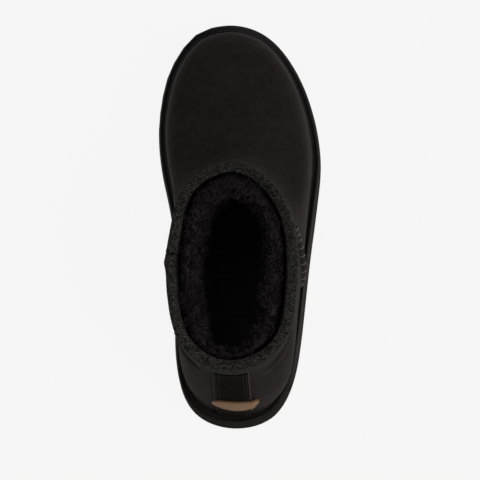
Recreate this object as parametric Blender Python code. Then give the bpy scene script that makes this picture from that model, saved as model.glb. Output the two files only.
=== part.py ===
"""Sheepskin ankle boot for a right foot: sole, hollow upper, pile lining, bound collar, seams and badge.

Metres, +Z up, +Y towards the toe, +X towards the outer side of the foot.
The origin lies on the floor, under the middle of the sole's outline.
"""

import math

import bmesh
import bpy
from mathutils import Vector

# Driving sizes of the sole unit
SOLE_LENGTH = 0.273
BALL_WIDTH = 0.107
HEEL_HEIGHT = 0.0230
ARCH_HEIGHT = 0.0200
BALL_HEIGHT = 0.0158
TOE_HEIGHT = 0.0150
TOE_SPRING = 0.0080
HEEL_SPRING = 0.0015
ARCH_RISE = 0.0020
OUTSOLE_THICKNESS = 0.0056
OUTSOLE_EDGE = 0.0030
MIDSOLE_STEP = 0.0010
TREAD_DEPTH = 0.0026
TREAD_PITCH = 0.0105
TREAD_WAVE = 0.0022
TREAD_WAVE_LENGTH = 0.030
GROOVE_WIDTH = 0.0034
TREAD_MARGIN = 0.0075
RIM_WIDTH = 0.0048
UPPER_SHIFT = 0.0008
RIM_BEAD = 0.0024
RIM_FLANK = 0.0006
RIM_VALLEY_DEPTH = 0.0020
SEAT_DEPTH = 0.0032
LIP_GAP = 0.0006
INSOLE_THICKNESS = 0.0050

# Driving sizes of the upper and of what is sewn to it
UPPER_WALL = 0.0042
COLLAR_LENGTH = 0.1275
COLLAR_WIDTH = 0.0788
COLLAR_SETBACK = 0.0177
COLLAR_SHIFT = 0.0010
COLLAR_BACK_HEIGHT = 0.104
COLLAR_FRONT_HEIGHT = 0.112
OUTER_SWELL = 0.0027
INNER_SWELL = 0.0004
HEEL_SWELL = 0.0020
HEEL_SHIFT = 0.0023
FLEECE_DEPTH = 0.0155
FLEECE_BACK_THINNING = 0.33
FLEECE_TUFT = 0.0007
FLEECE_DROP = 0.0095
FLEECE_FOOT_GAP = 0.0014
BINDING_THICKNESS = 0.0009
BINDING_DEPTH = 0.0095
BINDING_INNER_DEPTH = 0.0050
BINDING_JOINT_PLACE = 0.0835
BINDING_JOINT_LENGTH = 0.012
BINDING_JOINT_BULGE = 0.0005
STAY_WIDTH = 0.0225
STAY_TOP_PLACE = 0.0000
STAY_FOOT_PLACE = -0.0024
STAY_THICKNESS = 0.0014
STAY_EDGE = 0.0006
BADGE_WIDTH = 0.0288
BADGE_HEIGHT = 0.0150
BADGE_THICKNESS = 0.0014
BADGE_CENTRE_HEIGHT = 0.0510
BADGE_PLACE = 0.0003
BADGE_DROP = 0.0040
SEAM_WIDTH = 0.0052
SEAM_THICKNESS = 0.0022
SEAM_CURVE = 1.8
OUTER_SEAM_TOP = 0.1070
OUTER_SEAM_FOOT = 0.0895
INNER_SEAM_TOP = 0.0865
INNER_SEAM_FOOT = 0.0810

# Clearance between curved pieces, and between a piece and the edge that it stops at
GAP = 0.0003
EDGE_GAP = 0.0006

# The binding's clearance, as the tape is folded round an edge, and the pile's, as its facets twist
BINDING_GAP = 0.00048
FLEECE_GAP = 0.0008

# How finely the forms are divided
COLUMNS = 27
SEAM_STEPS = 12
STAY_STEPS = 14
BADGE_STEPS = 3
FINE = 240

# Lengths and shares over which a slope is read, and the share up that stands for the collar's edge
OUTLINE_STEP = 0.0004
SHARE_STEP = 0.004
NEAR_COLLAR = 0.97

# Sole outline: share of the sole's length from the heel end, then the outer and the inner half width
# as shares of half the ball width. The waist lies on the inner side, and the toe points inwards.
SOLE_OUTLINE = (
    (0.000, -0.02, 0.02),
    (0.018, 0.350, 0.400),
    (0.060, 0.548, 0.620),
    (0.120, 0.676, 0.722),
    (0.200, 0.751, 0.765),
    (0.300, 0.812, 0.758),
    (0.420, 0.885, 0.766),
    (0.540, 0.966, 0.858),
    (0.640, 1.021, 0.963),
    (0.730, 0.984, 1.001),
    (0.810, 0.884, 0.966),
    (0.880, 0.734, 0.878),
    (0.945, 0.508, 0.694),
    (0.985, 0.235, 0.470),
    (1.000, -0.110, 0.110),
)

# Collar outline seen from above: share of the collar's length from its back, then the outer and the
# inner half width as shares of half the collar's width.
COLLAR_OUTLINE = (
    (0.000, 0.00, 0.00),
    (0.020, 0.31, 0.33),
    (0.070, 0.61, 0.59),
    (0.160, 0.845, 0.82),
    (0.300, 0.955, 0.94),
    (0.540, 1.000, 0.982),
    (0.700, 0.940, 0.907),
    (0.810, 0.795, 0.820),
    (0.895, 0.605, 0.67),
    (0.960, 0.370, 0.42),
    (1.000, 0.00, 0.00),
)

# How the columns of the upper fan out: share of the way round from heel to toe at the sole, and the
# share of the way round from back to front that the same column reaches at the collar.
COLUMN_FAN = (
    (0.00, 0.00),
    (0.18, 0.19),
    (0.34, 0.475),
    (0.50, 0.66),
    (0.66, 0.80),
    (0.84, 0.92),
    (1.00, 1.00),
)

# Sections of the upper from the sole up to the collar. Each row is one ring: how far it has risen
# and how far it has run in towards the collar, at the heel, at the side and at the toe, as shares of
# the whole way, and then how far it swells out as shares of the side's and of the heel's swell.
UPPER_RINGS = (
    # heel rise, heel run, side rise, side run, toe rise, toe run, side swell, heel swell
    (0.000, 0.000, 0.000, 0.000, 0.000, 0.000, 0.00, 0.00),
    (0.050, 0.045, 0.055, 0.000, 0.045, 0.010, 0.25, 0.25),
    (0.150, 0.120, 0.150, 0.010, 0.170, 0.042, 0.90, 0.75),
    (0.280, 0.190, 0.270, 0.050, 0.305, 0.095, 1.10, 1.00),
    (0.410, 0.275, 0.390, 0.130, 0.405, 0.190, 0.70, 1.00),
    (0.540, 0.430, 0.510, 0.280, 0.478, 0.345, 0.10, 0.80),
    (0.660, 0.640, 0.630, 0.450, 0.538, 0.525, -0.30, 0.50),
    (0.775, 0.840, 0.750, 0.640, 0.625, 0.730, -0.45, 0.20),
    (0.890, 0.965, 0.875, 0.830, 0.770, 0.915, -0.30, 0.05),
    (1.000, 1.000, 1.000, 1.000, 1.000, 1.000, 0.00, 0.00),
)
RINGS_PER_ROW = 2

# The pile's roll over the collar, from the binding to the inside: how far in from the binding as a share
# of the pile that stands in from it, how far below the collar's top as a share of the roll's drop, and
# the share of a tuft by which the row's points stand up and down in turn
FLEECE_ROLL = (
    # in, below, tuft
    (0.00, 0.78, 0.0),
    (0.03, 0.48, 0.0),
    (0.22, 0.30, 1.0),
    (0.48, 0.28, -1.0),
    (0.76, 0.50, 1.0),
    (0.93, 1.00, -1.0),
)

# The pile on its way down to the insole: share up the upper, its depth as a share of its depth above,
# and the share of a tuft by which the row's points stand in and out in turn
FLEECE_WALL = (
    # up, depth, tuft
    (0.80, 1.00, 1.0),
    (0.69, 0.97, -1.0),
    (0.57, 0.84, 1.0),
    (0.45, 0.64, -1.0),
    (0.33, 0.46, 1.0),
    (0.22, 0.37, -1.0),
)
FLEECE_FOOT = 0.34

# The first and the last row of the upper's sections that the back of the pile follows
FLEECE_OUTER_ROWS = (2, 8)

# How far round from the back the pile stays thinner
FLEECE_BACK = (0.10, 0.40)

# Where round the upper the heel's section gives way to the side's, and the side's to the toe's, and
# how much of the side's swell is lost on the way to the toe
HEEL_TO_SIDE = (0.02, 0.22)
SIDE_TO_TOE = (0.34, 0.64)
SWELL_LOSS = 0.6

# Shares of the collar's length between which its height rises from the back to the front
COLLAR_SLOPE = (-0.1, 1.1)

# Where round the upper the heel cup is fullest on either side, and where its shift at the back fades
HEEL_CUP_START = (0.05, 0.13)
HEEL_CUP_END = (0.14, 0.30)
HEEL_SHIFT_END = (0.03, 0.20)

# Side of the midsole from its underside to the rim: share of the height, and how far it is stepped in
# as a share of its step. Two flat bands stand out between grooves, under the rounded rim.
MIDSOLE_SIDE = (
    (0.00, 1.0),
    (0.10, 0.0),
    (0.34, 0.0),
    (0.38, 1.0),
    (0.46, 1.0),
    (0.50, 0.1),
    (0.70, 0.3),
    (0.74, 1.1),
    (0.80, 1.1),
    (0.84, 0.3),
    (0.94, 0.6),
    (1.00, 1.5),
)

# How far the rounded rim falls to its inner edge, as a share of the valley's depth
BEAD_FALL = 0.25

# Side of the outsole from the floor up: share of its thickness, and how far it is rounded in as a
# share of its edge
OUTSOLE_SIDE = (
    (0.00, 1.00),
    (0.16, 0.47),
    (0.55, 0.13),
    (1.00, 0.20),
)

# Side of the insole from its underside up: share of its thickness, and how far it leans in as a share too
INSOLE_SIDE = (
    (0.00, 0.06),
    (0.55, 0.30),
    (0.90, 0.54),
    (1.00, 0.80),
)

# Section of the folded binding: how much of its thickness is left at its lower edge, how far out and
# how high its shoulders lie as shares of its thickness and of its crown
FOLD_EDGE = 0.8
FOLD_TURN = 0.3
FOLD_SHOULDER = 0.75

# Where the swell at the joint of the binding's ends fades, as shares of half its length
JOINT_FADE = (0.5, 1.0)

# Places across the heel stay between its edges, as shares of half its width
STAY_ACROSS = (-0.6, -0.2, 0.2, 0.6)

# Section of a raised seam: shares of half its width, and of its thickness
SEAM_SECTION = (
    (-1.00, 0.35),
    (-0.55, 0.85),
    (0.00, 1.00),
    (0.55, 0.85),
    (1.00, 0.35),
)

# Half of the badge in steps across, and the power that squares its oval
BADGE_TURNS = (0.0, 0.2, 0.45, 0.74, 0.88, 1.0)
BADGE_OVAL = 2.4
BADGE_END = 0.16
BADGE_LAST_CUT = 0.985

# Stretches of the sole with tread, as shares of the sole's length, and the waist between them
TREAD_ZONES = ((0.065, 0.285), (0.505, 0.925))
ARCH_ZONE = (0.27, 0.50)
STEPS_PER_WAVE = 5

# Where along the sole the springs at its ends begin, and how much of the toe's lifts the rim's knots
TOE_SPRING_START = 0.66
HEEL_SPRING_END = 0.055
RIM_DIP = 0.0008
RIM_LIFT = 0.28
RIM_KNOTS = (0.0, 0.22, 0.45, 0.68, 0.86, 1.0)


def smooth(low, high, value):
    """0 below low, 1 above high, and a soft step between them."""
    share = min(1.0, max(0.0, (value - low) / (high - low)))
    return share * share * (3.0 - 2.0 * share)


def hermite(knots, values, place):
    """A smooth curve through the values at their knots, read at one place. It overshoots little."""
    last = len(knots) - 2
    i = 0
    while i < last and place > knots[i + 1]:
        i += 1

    def slope(k):
        before, after = max(0, k - 1), min(len(knots) - 1, k + 1)
        return (values[after] - values[before]) / (knots[after] - knots[before])

    span = knots[i + 1] - knots[i]
    x = (place - knots[i]) / span
    start, end = slope(i) * span, slope(i + 1) * span
    rise = values[i + 1] - values[i]
    return values[i] + x * (start + x * (3 * rise - 2 * start - end + x * (start + end - 2 * rise)))


class Outline:
    """A closed outline through a table's rows, read by side and by share of the way from heel to toe."""

    def __init__(self, rows, length, half_width, start=0.0, shift=0.0):
        outer = [Vector((shift + row[1] * half_width, start + row[0] * length, 0.0)) for row in rows]
        inner = [Vector((shift - row[2] * half_width, start + row[0] * length, 0.0)) for row in rows]
        loop = outer + inner[-2:0:-1]
        count = len(loop)
        wrapped = [loop[i % count] for i in range(-3, count + 4)]
        knots = [0.0]
        for a, b in zip(wrapped, wrapped[1:]):
            knots.append(knots[-1] + max(1e-6, (b - a).length))
        self.knots = [k - knots[3] for k in knots]
        self.points = wrapped
        toe = self.knots[3 + len(rows) - 1]
        self.sides = {1: self.lengths(0.0, toe), -1: self.lengths(self.knots[3 + count], toe)}

    def read(self, place):
        xs = hermite(self.knots, [p.x for p in self.points], place)
        ys = hermite(self.knots, [p.y for p in self.points], place)
        return Vector((xs, ys, 0.0))

    def lengths(self, start, end):
        """Places from start to end, each with its distance along the curve."""
        places = [start + (end - start) * i / FINE for i in range(FINE + 1)]
        points = [self.read(place) for place in places]
        run = [0.0]
        for a, b in zip(points, points[1:]):
            run.append(run[-1] + (b - a).length)
        return places, run

    def place(self, side, share):
        places, run = self.sides[side]
        target = min(1.0, max(0.0, share)) * run[-1]
        low, high = 0, FINE
        while high - low > 1:
            middle = (low + high) // 2
            if run[middle] <= target:
                low = middle
            else:
                high = middle
        part = (target - run[low]) / (run[high] - run[low])
        return places[low] + part * (places[high] - places[low])

    def point(self, around, inset=0.0):
        """The point at a signed share of the way round, set in from the edge. Negative is the inner side."""
        side = 1 if around >= 0 else -1
        place = self.place(side, abs(around))
        point = self.read(place)
        if inset == 0.0:
            return point
        return point - self.outward(around) * inset

    def outward(self, around):
        side = 1 if around >= 0 else -1
        place = self.place(side, abs(around))
        along = self.read(place + OUTLINE_STEP) - self.read(place - OUTLINE_STEP)
        return Vector((along.y, -along.x, 0.0)).normalized()

    def share_at(self, side, y):
        """The share of the way round at which one side of the outline passes a distance along the sole."""
        low, high = 0.0, 1.0
        for _ in range(40):
            middle = (low + high) / 2
            if self.point(side * middle).y < y:
                low = middle
            else:
                high = middle
        return side * (low + high) / 2


def sole_width_middle():
    """Halfway between the sole's two widest points, where the origin lies."""
    outline = Outline(SOLE_OUTLINE, SOLE_LENGTH, BALL_WIDTH / 2)
    xs = [outline.point(side * i / FINE).x for side in (1, -1) for i in range(FINE + 1)]
    return (max(xs) + min(xs)) / 2


HEEL_END = -SOLE_LENGTH / 2
SOLE = Outline(SOLE_OUTLINE, SOLE_LENGTH, BALL_WIDTH / 2, HEEL_END, -sole_width_middle())
COLLAR = Outline(COLLAR_OUTLINE, COLLAR_LENGTH, COLLAR_WIDTH / 2, HEEL_END + COLLAR_SETBACK, COLLAR_SHIFT)


def sole_share(y):
    return (y - HEEL_END) / SOLE_LENGTH


def floor_line(y):
    """Height of the sole's underside: flat at heel and ball, with an arch and a spring at each end."""
    share = sole_share(y)
    toe = TOE_SPRING * max(0.0, (share - TOE_SPRING_START) / (1.0 - TOE_SPRING_START)) ** 2
    heel = HEEL_SPRING * max(0.0, (HEEL_SPRING_END - share) / HEEL_SPRING_END) ** 2
    start, end = ARCH_ZONE
    arch = ARCH_RISE * math.sin(math.pi * min(1.0, max(0.0, (share - start) / (end - start)))) ** 2
    return toe + heel + arch


def rim_line(y):
    """Height of the rim's top above the floor."""
    toe = TOE_HEIGHT + TOE_SPRING
    lift = TOE_SPRING * RIM_LIFT
    heights = (HEEL_HEIGHT, HEEL_HEIGHT - RIM_DIP, ARCH_HEIGHT, BALL_HEIGHT, BALL_HEIGHT + lift, toe)
    return hermite(RIM_KNOTS, heights, sole_share(y))


def parting_line(y):
    """Height of the joint between outsole and midsole."""
    return floor_line(y) + OUTSOLE_THICKNESS


def seat_line(y):
    """Height of the midsole's top inside its lip, on which the upper and the insole stand."""
    return rim_line(y) - SEAT_DEPTH


def shares_round():
    """Signed shares of the way round for one closed ring: heel, outer side, toe, inner side."""
    outer = [i / COLUMNS for i in range(COLUMNS + 1)]
    inner = [-i / COLUMNS for i in range(COLUMNS - 1, 0, -1)]
    return outer + inner


def sole_ring(inset, height, shift=0.0):
    """One ring of the sole's outline, set in by a width, at a height given as a function of the place."""
    ring = []
    for around in shares_round():
        point = SOLE.point(around, inset)
        ring.append(Vector((point.x + shift, point.y, height(point.y))))
    return ring


def fan_share(around):
    """The share of the way round at the collar for a column that starts at a share at the sole."""
    reached = hermite([row[0] for row in COLUMN_FAN], [row[1] for row in COLUMN_FAN], abs(around))
    return math.copysign(reached, around)


def collar_height(y):
    share = (y - HEEL_END - COLLAR_SETBACK) / COLLAR_LENGTH
    return COLLAR_BACK_HEIGHT + (COLLAR_FRONT_HEIGHT - COLLAR_BACK_HEIGHT) * smooth(*COLLAR_SLOPE, share)


def upper_point(around, up):
    """A point on the upper's outside: around is the signed share round, up the share from sole to collar."""
    foot = SOLE.point(around, RIM_WIDTH)
    foot.x += UPPER_SHIFT
    foot.z = seat_line(foot.y) + GAP
    top = COLLAR.point(fan_share(around))
    top.z = collar_height(top.y)
    side = smooth(*HEEL_TO_SIDE, abs(around))
    toe = smooth(*SIDE_TO_TOE, abs(around))
    knots = [i / (len(UPPER_RINGS) - 1) for i in range(len(UPPER_RINGS))]
    columns = [hermite(knots, column, up) for column in zip(*UPPER_RINGS)]
    heel_rise, heel_run, side_rise, side_run, toe_rise, toe_run, swell, heel_swell = columns
    rise = (heel_rise * (1 - side) + side_rise * side) * (1 - toe) + toe_rise * toe
    run = (heel_run * (1 - side) + side_run * side) * (1 - toe) + toe_run * toe
    swell *= (OUTER_SWELL if around > 0 else INNER_SWELL) * side * (1 - SWELL_LOSS * toe)
    away = abs(around)
    swell += HEEL_SWELL * heel_swell * smooth(*HEEL_CUP_START, away) * (1 - smooth(*HEEL_CUP_END, away))
    level = foot.lerp(top, run)
    level.x += HEEL_SHIFT * heel_swell * (1 - smooth(*HEEL_SHIFT_END, away))
    level.z = foot.z + (top.z - foot.z) * rise
    return level + SOLE.outward(around) * swell


def upper_normal(around, up):
    """The outward normal of the upper's outside."""
    low, high = max(0.0, up - SHARE_STEP), min(1.0, up + SHARE_STEP)
    rising = upper_point(around, high) - upper_point(around, low)
    before, after = around - SHARE_STEP, around + SHARE_STEP
    if after > 1.0:
        after -= 2.0
    if before < -1.0:
        before += 2.0
    passing = upper_point(after, up) - upper_point(before, up)
    return passing.cross(rising).normalized()


def upper_offset(around, up, out):
    """A point at a distance out from the upper's outside, or inside the boot where out is negative."""
    return upper_point(around, up) + upper_normal(around, up) * out


def stretch(around, up):
    """Lengths on the upper for one share round and for one share up."""
    across = upper_point(around + SHARE_STEP, up) - upper_point(around - SHARE_STEP, up)
    wide = across.length / (2 * SHARE_STEP)
    low, high = max(0.0, up - SHARE_STEP), min(1.0, up + SHARE_STEP)
    tall = (upper_point(around, high) - upper_point(around, low)).length / (high - low)
    return wide, tall


def level_at(around, height):
    """The share up at which a column of the upper passes a height above the floor."""
    low, high = 0.0, 1.0
    for _ in range(30):
        middle = (low + high) / 2
        if upper_point(around, middle).z < height:
            low = middle
        else:
            high = middle
    return (low + high) / 2


def binding_foot(around):
    """The share up at which the collar binding's lower edge lies."""
    return 1.0 - BINDING_DEPTH / stretch(around, NEAR_COLLAR)[1]


def rim_top(around):
    """The share up at which the upper clears the midsole's bead."""
    return level_at(around, rim_line(upper_point(around, 0.0).y) + EDGE_GAP)


def material(name, colour, roughness, metallic=0.0):
    made = bpy.data.materials.new(name)
    made.use_nodes = True
    shader = made.node_tree.nodes["Principled BSDF"]
    shader.inputs["Base Color"].default_value = (*colour, 1.0)
    shader.inputs["Roughness"].default_value = roughness
    shader.inputs["Metallic"].default_value = metallic
    return made


def add_object(name, mesh, collection, finish=None):
    made = bpy.data.objects.new(name, mesh)
    collection.objects.link(made)
    if finish:
        mesh.materials.append(finish)
    mesh.shade_smooth()
    mesh.set_sharp_from_angle(angle=math.radians(40))
    return made


def loft(name, rings, caps="ends", closed_loop=False):
    """A mesh through rings of points. Caps are strips across a ring, one face at each end, or none."""
    work = bmesh.new()
    rows = [[work.verts.new(point) for point in ring] for ring in rings]
    count = len(rings[0])
    pairs = list(zip(rows, rows[1:]))
    if closed_loop:
        pairs.append((rows[-1], rows[0]))
    for lower, upper in pairs:
        for i in range(count):
            work.faces.new((lower[i], lower[(i + 1) % count], upper[(i + 1) % count], upper[i]))
    for row, turned in ((rows[0], True), (rows[-1], False)):
        if caps == "ends":
            work.faces.new(row[::-1] if turned else row)
        if caps == "strips":
            cap_strips(work, row, turned)
    bmesh.ops.recalc_face_normals(work, faces=work.faces)
    mesh = bpy.data.meshes.new(name)
    work.to_mesh(mesh)
    work.free()
    return mesh


def cap_strips(work, row, turned):
    """Closes a ring with strips from its outer side to its inner side, so that the cap can be curved."""
    count = len(row)
    half = count // 2
    for i in range(half):
        corners = [row[i], row[i + 1], row[(count - i - 1) % count], row[(count - i) % count]]
        face = list(dict.fromkeys(corners))
        work.faces.new(face[::-1] if turned else face)


def boolean(target, cutter, operation="DIFFERENCE"):
    modifier = target.modifiers.new(cutter.name, "BOOLEAN")
    modifier.object = cutter
    modifier.operation = operation


def make_outsole(parts, cutters, finish):
    """The rubber tread sole, with wavy grooves between its lugs."""

    def height(share):
        return lambda y: floor_line(y) + share * (OUTSOLE_THICKNESS - GAP)

    rings = [sole_ring(edge * OUTSOLE_EDGE, height(share)) for share, edge in OUTSOLE_SIDE]
    outsole = add_object("outsole", loft("outsole", rings, "strips"), parts, finish)
    grooves = add_object("tread_grooves", tread_grooves(), cutters)
    grooves.hide_render = True
    grooves.display_type = "WIRE"
    boolean(outsole, grooves)
    return outsole


def tread_grooves():
    """All the grooves of the tread as one cutter. Each runs across the sole in a wave, up to its margin."""
    work = bmesh.new()
    for start, end in TREAD_ZONES:
        length = (end - start) * SOLE_LENGTH
        count = int(length / TREAD_PITCH)
        first = HEEL_END + start * SOLE_LENGTH + (length - (count - 1) * TREAD_PITCH) / 2
        for i in range(count):
            add_groove(work, first + i * TREAD_PITCH)
    bmesh.ops.recalc_face_normals(work, faces=work.faces)
    mesh = bpy.data.meshes.new("tread_grooves")
    work.to_mesh(mesh)
    work.free()
    return mesh


def add_groove(work, middle):
    """One groove of the tread: a wavy channel of an even width and depth in the sole's curved underside."""
    right = SOLE.point(SOLE.share_at(1, middle)).x - TREAD_MARGIN
    left = SOLE.point(SOLE.share_at(-1, middle)).x + TREAD_MARGIN
    steps = max(STEPS_PER_WAVE, round((right - left) / TREAD_WAVE_LENGTH * STEPS_PER_WAVE))
    below = -TREAD_DEPTH
    rows = []
    for i in range(steps + 1):
        x = left + (right - left) * i / steps
        y = middle + TREAD_WAVE * math.sin(2 * math.pi * x / TREAD_WAVE_LENGTH)
        back, front = y - GROOVE_WIDTH / 2, y + GROOVE_WIDTH / 2
        corners = (
            (x, back, below),
            (x, front, below),
            (x, front, floor_line(front) + TREAD_DEPTH),
            (x, back, floor_line(back) + TREAD_DEPTH),
        )
        rows.append([work.verts.new(corner) for corner in corners])
    for low, high in zip(rows, rows[1:]):
        for k in range(4):
            work.faces.new((low[k], low[(k + 1) % 4], high[(k + 1) % 4], high[k]))
    work.faces.new(rows[0][::-1])
    work.faces.new(rows[-1])


def make_midsole(parts, finish):
    """The foam midsole: a stepped side, a raised lip round the upper, and a seat inside the lip."""

    def side_height(share):
        return lambda y: parting_line(y) + share * (rim_line(y) - parting_line(y))

    def below_rim(share):
        return lambda y: rim_line(y) - share * RIM_VALLEY_DEPTH

    rings = [sole_ring(step * MIDSOLE_STEP, side_height(share)) for share, step in MIDSOLE_SIDE]
    lip_inside = RIM_WIDTH - LIP_GAP
    rings.append(sole_ring(RIM_BEAD, below_rim(BEAD_FALL)))
    rings.append(sole_ring(RIM_BEAD + RIM_FLANK, below_rim(1.0)))
    rings.append(sole_ring(lip_inside, below_rim(1.0), UPPER_SHIFT))
    rings.append(sole_ring(lip_inside, seat_line, UPPER_SHIFT))
    return add_object("midsole", loft("midsole", rings, "strips"), parts, finish)


def make_insole(parts, finish):
    """The sheepskin insole, inside the upper's wall. Its edge leans in with the wall."""

    def height(share):
        return lambda y: seat_line(y) + GAP + share * INSOLE_THICKNESS

    rings = []
    for share, lean in INSOLE_SIDE:
        inset = RIM_WIDTH + UPPER_WALL + EDGE_GAP + lean * INSOLE_THICKNESS
        rings.append(sole_ring(inset, height(share), UPPER_SHIFT))
    return add_object("insole", loft("insole", rings, "strips"), parts, finish)


def make_upper(parts, finish):
    """The hollow upper, open at the collar and underneath: up its outside, then down its inside."""
    rows = len(UPPER_RINGS) - 1
    count = rows * RINGS_PER_ROW
    rings = [[upper_point(around, i / count) for around in shares_round()] for i in range(count + 1)]
    for up in [i / rows for i in range(rows, -1, -1)]:
        rings.append([upper_offset(around, up, -UPPER_WALL) for around in shares_round()])
    for outside, inside in zip(rings[0], rings[-1]):
        inside.z = outside.z = seat_line(outside.y) + GAP
    return add_object("upper", loft("upper", rings, "none", closed_loop=True), parts, finish)


def fleece_depth(around):
    """How thick the pile is in the shaft. It is thinner at the back."""
    return FLEECE_DEPTH * (1 - FLEECE_BACK_THINNING * (1 - smooth(*FLEECE_BACK, abs(around))))


def fleece_foot(around):
    """The share up at which the lining ends, just above the insole."""
    top = seat_line(upper_point(around, 0.0).y) + GAP + INSOLE_THICKNESS
    return level_at(around, top + FLEECE_FOOT_GAP)


def fleece_roll(around, share_in, share_below):
    """A point of the pile's roll, in from the collar's edge and down from the binding's top."""
    edge = upper_point(around, 1.0)
    rising = (edge - upper_point(around, 1.0 - SHARE_STEP)).normalized()
    height = BINDING_GAP + BINDING_THICKNESS - share_below * FLEECE_DROP
    start = BINDING_GAP + BINDING_THICKNESS + EDGE_GAP
    inward = UPPER_WALL + start + share_in * (fleece_depth(around) - start)
    return edge - upper_normal(around, 1.0) * inward + rising * height


def make_fleece(parts, finish):
    """The pile that lines foot and shaft and rolls in from the binding, with its surface in tufts."""
    shares = shares_round()
    rows = len(UPPER_RINGS) - 1
    first, last = FLEECE_OUTER_ROWS
    near = UPPER_WALL + FLEECE_GAP
    rings = [[upper_offset(around, fleece_foot(around), -near) for around in shares]]
    for i in range(first, last + 1):
        rings.append([upper_offset(around, i / rows, -near) for around in shares])
    for share_in, share_below, tuft in FLEECE_ROLL:
        ring = []
        for column, around in enumerate(shares):
            lift = tuft * FLEECE_TUFT * (-1) ** column
            ring.append(fleece_roll(around, share_in, share_below) + Vector((0.0, 0.0, lift)))
        rings.append(ring)
    for up, depth, tuft in FLEECE_WALL:
        ring = []
        for column, around in enumerate(shares):
            lift = tuft * FLEECE_TUFT * (-1) ** column
            ring.append(upper_offset(around, up, -near - depth * fleece_depth(around) - lift))
        rings.append(ring)
    depths = [FLEECE_FOOT * fleece_depth(around) for around in shares]
    rings.append([upper_offset(a, fleece_foot(a), -near - depth) for a, depth in zip(shares, depths)])
    for outside, inside in zip(rings[0], rings[-1]):
        inside.z = outside.z
    return add_object("fleece_lining", loft("fleece_lining", rings, "none", closed_loop=True), parts, finish)


def joint_bulge(around):
    """How far the binding swells where its two ends overlap, on the inner side of the collar."""
    point = upper_point(around, 1.0)
    if around >= 0:
        return 0.0
    away = abs(point.y - (HEEL_END + BINDING_JOINT_PLACE)) / (BINDING_JOINT_LENGTH / 2)
    return BINDING_JOINT_BULGE * (1.0 - smooth(*JOINT_FADE, away))


def binding_shares():
    """Shares round for the binding's sections, with extra ones at the overlap of its ends."""
    shares = shares_round()
    step = 1 / COLUMNS
    extra = [a - step / 2 for a in shares if any(joint_bulge(a + k * step) > 0 for k in (-1, 0, 1))]
    return sorted(set(shares + extra), key=lambda a: a if a >= 0 else 2.0 + a)


def make_binding(parts, finish):
    """The webbing tape folded over the collar's edge, with its overlap on the inner side."""
    near = BINDING_GAP
    crown = near + BINDING_THICKNESS
    far = UPPER_WALL + near
    rings = []
    for around in binding_shares():
        foot = binding_foot(around)
        middle = (foot + 1.0) / 2
        inner_foot = 1.0 - (1.0 - foot) * BINDING_INNER_DEPTH / BINDING_DEPTH
        bulge = joint_bulge(around)
        edge = upper_point(around, 1.0)
        outward = upper_normal(around, 1.0)
        up = (edge - upper_point(around, 1.0 - SHARE_STEP)).normalized()
        thick = BINDING_THICKNESS + bulge
        outside = [
            upper_offset(around, foot, near + thick * FOLD_EDGE),
            upper_offset(around, middle, near + thick),
            edge + outward * (near + thick),
            edge + outward * (near + thick * FOLD_TURN) + up * crown * FOLD_SHOULDER,
            edge - outward * UPPER_WALL / 2 + up * (crown + bulge * FOLD_TURN),
            edge - outward * (far + thick * FOLD_TURN) + up * crown * FOLD_SHOULDER,
            edge - outward * (far + BINDING_THICKNESS),
            upper_offset(around, inner_foot, -far - BINDING_THICKNESS),
        ]
        inside = [
            upper_offset(around, inner_foot, -far),
            edge - outward * far + up * near,
            edge + outward * near + up * near,
            upper_offset(around, middle, near),
            upper_offset(around, foot, near),
        ]
        rings.append(outside + inside)
    mesh = loft("collar_binding", rings, "none", closed_loop=True)
    return add_object("collar_binding", mesh, parts, finish)


def ribbon(name, path, section):
    """A strip laid on the upper. The path gives its middle, and its section's points lie across and out."""
    rings = []
    for around, up in path:
        wide = stretch(around, up)[0]
        ring = []
        for across, out in section:
            ring.append(upper_offset(around + across / wide, up, out))
        rings.append(ring)
    return loft(name, rings)


def back_column(up, x):
    """The share round at which the back of the upper passes a place across the boot."""
    around = 0.0
    for _ in range(4):
        around += (x - upper_point(around, up).x) / stretch(around, up)[0]
    return around


def stay_place(up):
    """Where the middle of the stay lies across the boot. It leans a little."""
    return STAY_FOOT_PLACE + (STAY_TOP_PLACE - STAY_FOOT_PLACE) * up


def make_stay(parts, finish):
    """The strip up the back of the heel, from the midsole's lip to the binding."""
    low, high = rim_top(0.0), binding_foot(0.0) - EDGE_GAP / stretch(0.0, NEAR_COLLAR)[1]
    path = []
    for i in range(STAY_STEPS + 1):
        up = low + (high - low) * i / STAY_STEPS
        path.append((back_column(up, stay_place(up)), up))
    half = STAY_WIDTH / 2
    edge = STAY_EDGE
    top = GAP + STAY_THICKNESS
    across = [half * share for share in STAY_ACROSS]
    outside = [(-half, top - edge), (-half + edge, top)]
    outside += [(x, top) for x in across]
    outside += [(half - edge, top), (half, top - edge)]
    inside = [(half, GAP)] + [(x, GAP) for x in across[::-1]] + [(-half, GAP)]
    return add_object("heel_stay", ribbon("heel_stay", path, outside + inside), parts, finish)


def badge_lift(across):
    """How far the badge lies off the upper at a distance from the stay's middle. It drops past the stay."""
    over_stay = 2 * GAP + STAY_THICKNESS
    past_edge = abs(across) - STAY_WIDTH / 2 - EDGE_GAP
    return over_stay + (GAP - over_stay) * smooth(0.0, BADGE_DROP, past_edge)


def badge_sections(stay):
    """Places across from the badge's middle, with one at each edge of the clearance round the stay."""
    half = BADGE_WIDTH / 2
    turns = sorted(set(BADGE_TURNS + tuple(-turn for turn in BADGE_TURNS)))
    places = [half * math.sin(math.pi / 2 * turn) for turn in turns]
    clear = STAY_WIDTH / 2 + EDGE_GAP
    places += [place for place in (stay - clear, stay + clear) if abs(place) < half * BADGE_LAST_CUT]
    return sorted(places)


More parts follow.
